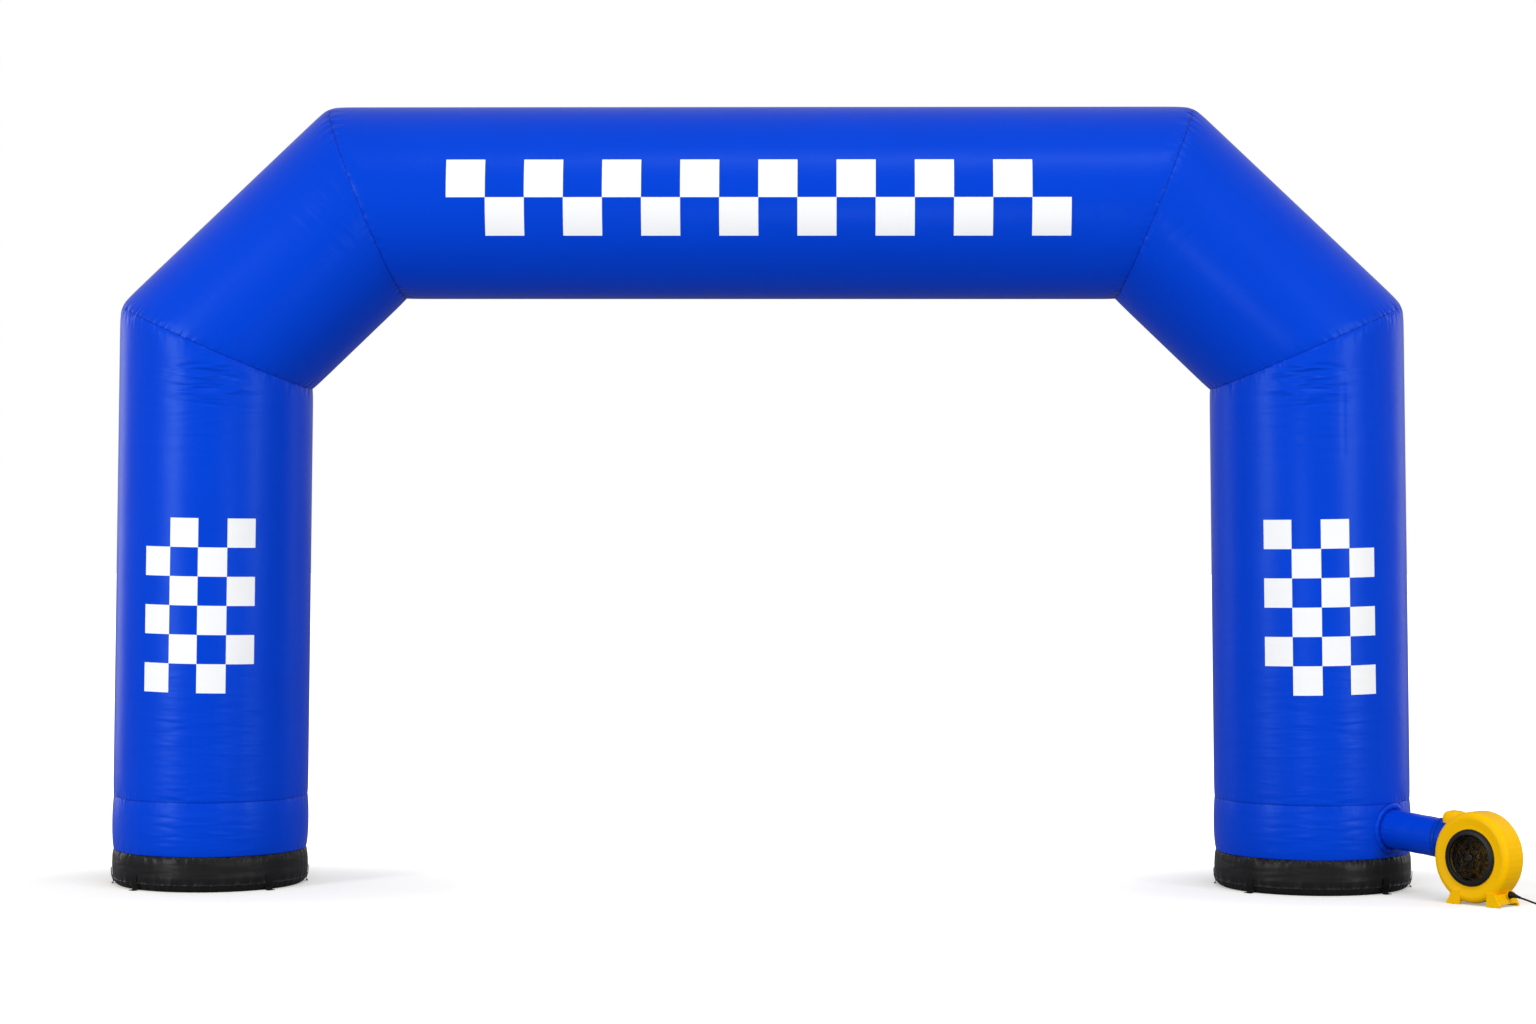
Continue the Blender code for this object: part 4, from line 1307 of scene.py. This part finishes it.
@dataclass
class Base:
    """A black base section with its gathered top seam, its welt and its webbing ties."""

    side: str
    centre_x: float
    tie_angles: tuple[float, ...] = (-82.0, -40.0, 46.0, 98.0, 145.0, -140.0)
    tie_reaches: tuple[float, ...] = (0.001, 0.020, 0.020, 0.001, 0.020, 0.020)
    tie_route: tuple[tuple[float, float], ...] = (
        (0.5145, 0.082),
        (0.5145, 0.066),
        (0.5125, 0.046),
        (0.5085, 0.030),
        (0.5040, 0.017),
        (0.5035, 0.007),
        (0.5110, 0.0015),
    )
    tie_width: float = 0.044
    tie_thickness: float = 0.003
    welt_z: float = 0.036
    top_z: float = 0.1838
    sides: int = 256
    profile: tuple[tuple[float, float], ...] = (
        (0.000, 0.4780),
        (0.006, 0.4905),
        (0.018, 0.5010),
        (0.038, 0.5080),
        (0.070, 0.5115),
        (0.110, 0.5120),
        (0.150, 0.5100),
        (0.172, 0.5065),
        (0.1838, 0.5010),
    )

    def _shell(self) -> bpy.types.Mesh:
        """Shapes the base's side, its sole and its top under the blue band."""
        heights = np.concatenate(
            (np.linspace(0.0, 0.030, 11), np.linspace(0.0325, 0.0400, 7),
             np.linspace(0.045, 0.165, 25), np.linspace(0.1675, self.top_z, 9))
        )
        own = np.array(self.profile)
        side = np.interp(heights, own[:, 0], own[:, 1])
        side[1:-1] = (side[:-2] + 2 * side[1:-1] + side[2:]) / 4
        angle = np.linspace(0.0, 2 * math.pi, self.sides, endpoint=False)[None, :]
        seed = 300 if self.side == "left" else 400
        radius = side[:, None] + 0.0 * angle
        below = (self.top_z - heights)[:, None]
        above = heights[:, None]
        top_pull = ripple(angle, seed, 26, 60) * 0.0018
        foot_pull = ripple(angle, seed + 1, 22, 54) * 0.0020
        slack = ripple(angle, seed + 2, 4, 11) * 0.0016
        radius = radius + top_pull * np.exp(-below / 0.030)
        over_welt = np.clip(above - self.welt_z, 0.0, None)
        radius = radius + foot_pull * np.exp(-over_welt / 0.020) * (above > self.welt_z)
        radius = radius + slack * np.sin(math.pi * above / self.top_z)
        radius = radius + 0.0028 * np.exp(-(((above - self.welt_z) / 0.0028) ** 2))
        inner = np.array((0.30, 0.10))
        rows = [(r, 0.0) for r in inner[::-1]]
        ring = np.stack((np.cos(angle[0]), np.sin(angle[0])), axis=-1)
        points = [np.column_stack((ring * r, np.full(self.sides, z))) for r, z in rows]
        for i, height in enumerate(heights):
            points.append(
                np.column_stack((ring * radius[i][:, None], np.full(self.sides, height)))
            )
        points += [np.column_stack((ring * r, np.full(self.sides, self.top_z))) for r in inner]
        grid = np.array(points) + np.array(arch_point(self.centre_x, 0.0, 0.0))
        levels = np.concatenate(([-0.2, -0.1], heights, [0.28, 0.38]))
        arc = 0.5 * np.linspace(0.0, 2 * math.pi, self.sides + 1)
        cloth = np.stack(np.meshgrid(arc, levels), axis=-1)
        gather = np.zeros(grid.shape[:2])
        gather[2:-2] = 2.2 * np.exp(-below / 0.016) + 1.6 * np.exp(-over_welt / 0.018)
        nearest = np.full(grid.shape[:2], 9.0)
        nearest[2:-2] = below + 0.0 * angle
        layers = {"gather": gather, "seam": nearest, "slack": np.full(grid.shape[:2], 0.5)}
        return grid_mesh(f"base_{self.side}_cloth", grid, True, cloth, layers, capped=True)

    def _tie(self, number: int) -> bpy.types.Mesh:
        """Bends one webbing strip down the base's side and out along the floor."""
        floor = self.tie_thickness / 2
        route = [(out, 0.0, height) for out, height in self.tie_route]
        route.append((route[-1][0] + self.tie_reaches[number - 1], 0.0, floor))
        path = np.array([tuple(point) for point in smooth_route(route, 0.003)])
        path[:, 2] = np.maximum(path[:, 2], floor)
        heading = np.gradient(path, axis=0)
        heading /= np.linalg.norm(heading, axis=1)[:, None]
        normal = np.cross(heading, (0.0, 1.0, 0.0))
        half, thick = self.tie_width / 2, self.tie_thickness / 2
        across = ((-half, 0.0), (-half + 0.0008, 0.8), (-half + 0.003, 1.0), (0.0, 1.0),
                  (half - 0.003, 1.0), (half - 0.0008, 0.8), (half, 0.0),
                  (half - 0.0008, -0.8), (half - 0.003, -1.0), (0.0, -1.0),
                  (-half + 0.003, -1.0), (-half + 0.0008, -0.8))
        rows = [
            [spot + np.array((0.0, y, 0.0)) + up * thick * share for y, share in across]
            for spot, up in zip(path, normal)
        ]
        grid = np.array(rows)
        travelled = np.concatenate(
            ([0.0], np.cumsum(np.linalg.norm(np.diff(path, axis=0), axis=1)))
        )
        widths = np.array([y for y, _ in across] + [across[0][0]])
        cloth = np.stack(np.meshgrid(widths, travelled), axis=-1)
        name = f"tie_{self.side}_{number}_webbing"
        mesh = grid_mesh(name, grid, True, cloth, capped=True)
        towards_middle = 1.0 if self.side == "left" else -1.0
        turn = math.radians(towards_middle * self.tie_angles[number - 1] - 90.0)
        place = Matrix.Translation(arch_point(self.centre_x, 0.0, 0.0))
        mesh.transform(place @ Matrix.Rotation(turn, 4, "Z"))
        return mesh

    def build(self, cloth: bpy.types.Material, webbing: bpy.types.Material) -> None:
        """Builds the base and its ties."""
        name = f"base_{self.side}"
        shell = add_piece(f"{name}_cloth", self._shell(), cloth, "black_fabric", name)
        for number in range(1, len(self.tie_angles) + 1):
            tie = f"tie_{self.side}_{number}"
            add_piece(f"{tie}_webbing", self._tie(number), webbing, "black_webbing", tie)


# The inlet


@dataclass
class Inlet:
    """The sleeve from the leg to the blower, its puffy collar and its strap."""

    leg_x: float = 2.8977
    leg_radius: float = 0.5085
    inlet_z: float = 0.333
    inlet_angle: float = 46.2
    outlet: tuple[float, float, float] = (-0.2264, 0.120, 0.312)
    radius: float = 0.100
    cuff: float = 0.040
    collar_radius: float = 0.1171
    collar_half_width: float = 0.0158
    collar_height: float = 0.0115
    strap_from: float = 0.006
    strap_width: float = 0.022
    drum_z: float = 0.238
    drum_half_width: float = 0.2223
    drum_half_height: float = 0.2307
    throat_face_x: float = 0.2264
    throat_front_y: float = 0.0676
    throat_edge: float = 0.036

    def _axis(self) -> tuple[np.ndarray, np.ndarray, np.ndarray, np.ndarray]:
        """Gives the sleeve's start, the way out of the blower, its bend and the inlet."""
        matrix = blower_matrix()
        outlet = np.array(matrix @ Vector(self.outlet))
        along = np.array(matrix.to_3x3() @ Vector((-1.0, 0.0, 0.0)))
        angle = math.radians(self.inlet_angle)
        outwards = np.array((math.sin(angle), -math.cos(angle), 0.0))
        inlet = np.array(arch_point(self.leg_x, 0.0, self.inlet_z)) + outwards * self.leg_radius
        return outlet, along, outlet + along * self.cuff, inlet

    def _start(self, turns: np.ndarray) -> np.ndarray:
        """Finds where the sleeve's end meets the housing, round the drum and the throat.

        Args:
            turns: Angles round the sleeve, 0 towards the blower's back and 90 degrees up.

        Returns:
            Distances from the throat's face, out along the sleeve.
        """
        depth = self.outlet[1] + self.radius * np.cos(turns)
        height = self.outlet[2] + self.radius * np.sin(turns)
        share = np.clip((height - self.drum_z) / self.drum_half_height, -1.0, 1.0)
        drum = self.drum_half_width * np.sqrt(1.0 - share**2)
        into_edge = np.clip(self.throat_front_y + self.throat_edge - depth, 0.0, self.throat_edge)
        throat = self.throat_face_x - self.throat_edge
        throat = throat + np.sqrt(self.throat_edge**2 - into_edge**2)
        throat = np.where(depth < self.throat_front_y, 0.0, throat)
        reach = np.maximum(drum, throat)
        window = np.hanning(11) / np.hanning(11).sum()
        eased = np.convolve(np.concatenate((reach[-5:], reach, reach[:5])), window, "valid")
        return np.maximum(reach, eased) - self.throat_face_x

    def _sleeve(self) -> bpy.types.Mesh:
        """Shapes the sleeve, creased beside its strap and where it is sewn to the leg."""
        outlet, along, bend, inlet = self._axis()
        aside = np.array(blower_matrix().to_3x3() @ Vector((0.0, 1.0, 0.0)))
        up = np.array((0.0, 0.0, 1.0))
        run = inlet - bend
        slope = run / run.dot(along)
        reach = run.dot(along) + self.cuff
        turns = np.linspace(0.0, 2 * math.pi, 144, endpoint=False)
        start = self._start(turns)
        leg = np.array(arch_point(self.leg_x, 0.0, 0.0))
        rows, travelled = [], []
        for share in (0.0, 0.02, 0.05, 0.10, 0.17, 0.26, 0.38, 0.50, 0.62, 0.74, 0.87):
            travelled.append(start + (self.cuff - start) * share)
        for distance in np.linspace(self.cuff, reach + 0.09, 70):
            travelled.append(np.full_like(turns, distance))
        strap_middle = self.strap_from + self.strap_width / 2
        for distance in travelled:
            centre = outlet + np.outer(np.minimum(distance, self.cuff), along)
            centre = centre + np.outer(np.maximum(distance - self.cuff, 0.0), slope)
            radius = self.radius - 0.004 * np.exp(-(distance - start) / 0.003)
            strapped = np.exp(-(((distance - strap_middle) / 0.014) ** 2))
            beside = np.exp(-np.abs(distance - strap_middle) / 0.045)
            at_leg = np.exp(-np.abs(reach - distance) / 0.05)
            radius = radius - 0.0016 * strapped
            radius = radius + 0.0010 * ripple(turns, 511, 9, 26) * beside * (1 - 0.8 * strapped)
            radius = radius + 0.0008 * ripple(turns, 512, 9, 24) * at_leg
            radius = radius + 0.0005 * np.sin(distance * 60 + 2.2 * np.sin(turns))
            ring = np.cos(turns)[:, None] * aside + np.sin(turns)[:, None] * up
            rows.append(centre + radius[:, None] * ring)
        grid = np.array(rows)
        flat = grid[..., :2] - leg[:2]
        away = np.linalg.norm(flat, axis=-1)
        inside = away < self.leg_radius - 0.012
        scale = np.where(inside, (self.leg_radius - 0.012) / np.maximum(away, 1e-6), 1.0)
        grid[..., :2] = leg[:2] + flat * scale[..., None]
        placed = np.array(travelled)
        around = np.concatenate((placed, placed[:, :1]), axis=1)
        arc = self.radius * np.linspace(0.0, 2 * math.pi, len(turns) + 1)[None, :]
        cloth = np.stack(np.broadcast_arrays(arc, around), axis=-1)
        gather = 0.20 * np.exp(-np.abs(placed - self.cuff) / 0.02)
        gather = gather + 0.25 * np.exp(-np.abs(reach - placed) / 0.02)
        layers = {"gather": gather, "seam": np.full_like(placed, 9.0)}
        return grid_mesh("inlet_sleeve_cloth", grid, True, cloth, layers)

    def _collar(self) -> bpy.types.Mesh:
        """Shapes the padded ring that lies on the leg round the sleeve."""
        _, _, bend, inlet = self._axis()
        run = (inlet - bend) / np.linalg.norm(inlet - bend)
        side = np.cross((0.0, 0.0, 1.0), run)
        side /= np.linalg.norm(side)
        up = np.cross(run, side)
        leg = np.array(arch_point(self.leg_x, 0.0, 0.0))
        turns = np.linspace(0.0, 2 * math.pi, 144, endpoint=False)
        sections = np.linspace(0.0, 2 * math.pi, 20, endpoint=False)
        lumps = ripple(turns, 521, 7, 22)
        rows = []
        for turn, lump in zip(turns, lumps):
            beside = math.cos(turn) * side + math.sin(turn) * up
            start = inlet + beside * self.collar_radius
            flat, heading = start[:2] - leg[:2], run[:2]
            a, b = heading.dot(heading), flat.dot(heading)
            c = flat.dot(flat) - self.leg_radius**2
            spot = start + run * ((-b - math.sqrt(max(0.0, b * b - a * c))) / a)
            out = np.array((*(spot[:2] - leg[:2]), 0.0)) / self.leg_radius
            outer = beside - out * beside.dot(out)
            outer /= np.linalg.norm(outer)
            width = self.collar_half_width + 0.0006 * lump
            height = self.collar_height + 0.0008 * lump
            rise = np.where(np.sin(sections) > 0, height, 0.004) * np.sin(sections)
            rows.append(spot + np.outer(width * np.cos(sections), outer) + np.outer(rise, out))
        grid = np.array(rows)
        arc = np.linspace(0.0, 0.09, len(sections) + 1)
        run_length = self.collar_radius * np.linspace(0.0, 2 * math.pi, len(turns) + 1)
        cloth = np.stack(np.meshgrid(arc, run_length), axis=-1)
        gather = np.tile(0.25 * np.abs(np.cos(sections))[None, :], (len(turns), 1))
        edge = 0.001 + self.collar_half_width * (1.0 - np.abs(np.cos(sections)))
        layers = {"gather": gather, "seam": np.tile(edge[None, :], (len(turns), 1))}
        return grid_mesh("inlet_collar_cloth", grid, True, cloth, layers, along_closed=True)

    def _strap(self) -> bpy.types.Mesh:
        """Shapes the strap, a thin band with rolled edges."""
        outlet, along, _, _ = self._axis()
        inner, thick = self.radius - 0.0012, 0.0042
        low, high = self.strap_from, self.strap_from + self.strap_width
        profile = (
            (inner, low + 0.001),
            (inner + thick * 0.5, low),
            (inner + thick, low + 0.0015),
            (inner + thick * 0.92, (low + high) / 2),
            (inner + thick, high - 0.0015),
            (inner + thick * 0.5, high),
            (inner, high - 0.001),
        )
        turn = Vector(along).to_track_quat("Z", "Y").to_matrix().to_4x4()
        band = lathe("cuff_strap_band", profile[::-1], Matrix.Translation(outlet) @ turn, 128)
        far = band.attributes.new("seam", "FLOAT", "POINT")
        far.data.foreach_set("value", [9.0] * len(band.vertices))
        return band

    def build(self, cloth: bpy.types.Material, cuff: bpy.types.Material) -> None:
        """Builds the sleeve, the collar and the strap."""
        sleeve = self._sleeve()
        piece = add_piece("inlet_sleeve_cloth", sleeve, cloth, "blue_fabric", "inlet_sleeve")
        sleeve.materials.append(cuff)
        edge = self.strap_from + self.strap_width + 0.004
        matrix = blower_matrix().inverted()
        for face in sleeve.polygons:
            from_outlet = self.outlet[0] - (matrix @ face.center).x
            face.material_index = 1 if from_outlet < edge else 0
        collar = self._collar()
        piece = add_piece("inlet_collar_cloth", collar, cloth, "blue_fabric", "inlet_collar")
        add_piece("cuff_strap_band", self._strap(), cuff, "dark_blue_strap", "cuff_strap")


# The blower


@dataclass
class Blower:
    """The moulded blower: its packed housing and bezel, with a finer grille and lead relief."""

    drum_z: float = 0.238
    grille_radius: float = 0.1163
    ring_count: int = 8
    wire: float = 0.0019
    hub_radius: float = 0.020
    bars: int = 4
    relief_start: tuple[float, float, float] = (0.1774, 0.095, 0.060)
    relief_length: float = 0.058
    relief_radii: tuple[float, float] = (0.0200, 0.0075)

    def _facing(self) -> Matrix:
        """Places a turned shape's axis on the drum's, pointing out of its face."""
        turn = Matrix.Rotation(math.pi / 2, 4, "X")
        return blower_matrix() @ Matrix.Translation((0.0, 0.0, self.drum_z)) @ turn

    def _grille(self) -> bpy.types.Mesh:
        """Joins the grille's rings, its bars and its hub into one mesh."""
        parts: list[bpy.types.Mesh] = []
        facing = self._facing()
        pitch = (self.grille_radius - self.wire - self.hub_radius) / self.ring_count
        for number in range(1, self.ring_count + 1):
            radius = self.hub_radius + pitch * number
            section = np.linspace(0.0, 2 * math.pi, 8, endpoint=False)
            profile = [
                (radius + self.wire * math.cos(a), 0.0006 + self.wire * math.sin(a))
                for a in section[::-1]
            ]
            parts.append(lathe(f"ring_{number}", profile, facing, 72))
        for number in range(self.bars):
            turn = math.pi * number / self.bars
            ahead = Vector((math.cos(turn), math.sin(turn), 0.0))
            ends = [
                facing @ (ahead * reach + Vector((0.0, 0.0, -0.0012)))
                for reach in np.linspace(-self.grille_radius, self.grille_radius, 9)
            ]
            parts.append(sweep(ends, [0.0022] * len(ends), 10, f"bar_{number}"))
        hub = (
            (0.0004, 0.0062), (0.010, 0.0060), (0.0165, 0.0052), (0.0195, 0.0030),
            (0.0200, 0.0), (0.0195, -0.004), (0.0004, -0.004),
        )
        parts.append(lathe("hub", hub[::-1], facing, 48))
        return merged("blower_grille_wires", parts)

    def _relief(self) -> bpy.types.Mesh:
        """Shapes the tapered strain relief, with its ribs."""
        matrix = blower_matrix()
        points, radii = [], []
        count = 49
        for step in range(count):
            share = step / (count - 1)
            x, y, z = self.relief_start
            spot = Vector((x + self.relief_length * share, y, z - 0.009 * share**2))
            points.append(matrix @ spot)
            taper = min(1.0, 1.2 * share) ** 0.8
            radius = self.relief_radii[0] + (self.relief_radii[1] - self.relief_radii[0]) * taper
            rib = 0.5 + 0.5 * math.cos(2 * math.pi * 7 * share)
            radii.append(radius - 0.0018 * rib * (0.15 < share < 0.92))
        return sweep(points, radii, 28, "blower_lead_relief")

    def build(self, rubber: bpy.types.Material) -> None:
        """Builds the grille and the relief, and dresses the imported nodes."""
        yellow = MouldedPlastic(
            "polyethylene_moulded_yellow",
            ("fdc300", "f9bd00"),
            roughness=0.34,
            gloss=0.06,
            # Shade and glints are painted into the hollow behind the grille.
            dark_inside=(0.2125, self.drum_z),
        ).material()
        black = MouldedPlastic(
            "abs_moulded_black",
            ("0c0c0d", "121213"),
            roughness=0.44,
            edge=0.0015,
            gloss=0.25,
        ).material()
        add_piece(
            "blower_grille_wires", self._grille(), black, "black_plastic", "blower_grille"
        )
        add_piece(
            "blower_lead_relief", self._relief(), rubber, "black_rubber", "blower_strain_relief"
        )
        for node, look in (("blower_housing", yellow), ("blower_bezel", black)):
            dress_node(node, look)


def merged(name: str, parts: Sequence[bpy.types.Mesh]) -> bpy.types.Mesh:
    """Joins several meshes into one and removes the separate ones."""
    points, faces, first = [], [], 0
    for part in parts:
        points += [tuple(vert.co) for vert in part.vertices]
        faces += [[first + i for i in face.vertices] for face in part.polygons]
        first += len(part.vertices)
        bpy.data.meshes.remove(part)
    mesh = bpy.data.meshes.new(name)
    mesh.from_pydata(points, [], faces)
    mesh.shade_smooth()
    mesh.update()
    return mesh


def dress_node(node: str, look: bpy.types.Material) -> None:
    """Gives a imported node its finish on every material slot."""
    for slot in bpy.data.objects[node].material_slots:
        slot.material = look
    LOG.info("%s dressed", node)


def main() -> None:
    """Builds the camera, the lead, the arch, the blower and the studio, in that order."""
    logging.basicConfig(level=logging.INFO, format="%(name)s: %(message)s")
    studio = Studio()
    studio.build_camera()
    rubber = MouldedRubber().material()
    MainsLead().build(rubber)
    Arch().build()
    black = CoatedPolyester(
        "polyester_coated_black",
        ("1d1d1e", "171718"),
        roughness=0.38,
        gloss=0.16,
        seam_colour="060607",
        shine="ffffff",
    )
    black_cloth = black.material()
    webbing = PolyesterWebbing("polyester_webbing_black", "0d0d0e").material()
    for side, centre_x in (("left", -2.9015), ("right", 2.9015)):
        Base(side, centre_x).build(black_cloth, webbing)
    plain = CoatedPolyester("polyester_coated_royal_blue_sleeve", Blue.ROYAL.value).material()
    cuff = CoatedPolyester("polyester_coated_cuff_blue", Blue.CUFF.value).material()
    Inlet().build(plain, cuff)
    Blower().build(rubber)
    dress_node("plug_body", rubber)
    pins = PlatedSteel().material()
    for side in ("left", "right"):
        dress_node(f"plug_pin_{side}", pins)
    studio.build_floor()
    studio.build_lights()
    bpy.context.scene.view_settings.view_transform = "Standard"


if __name__ == "__main__":
    main()
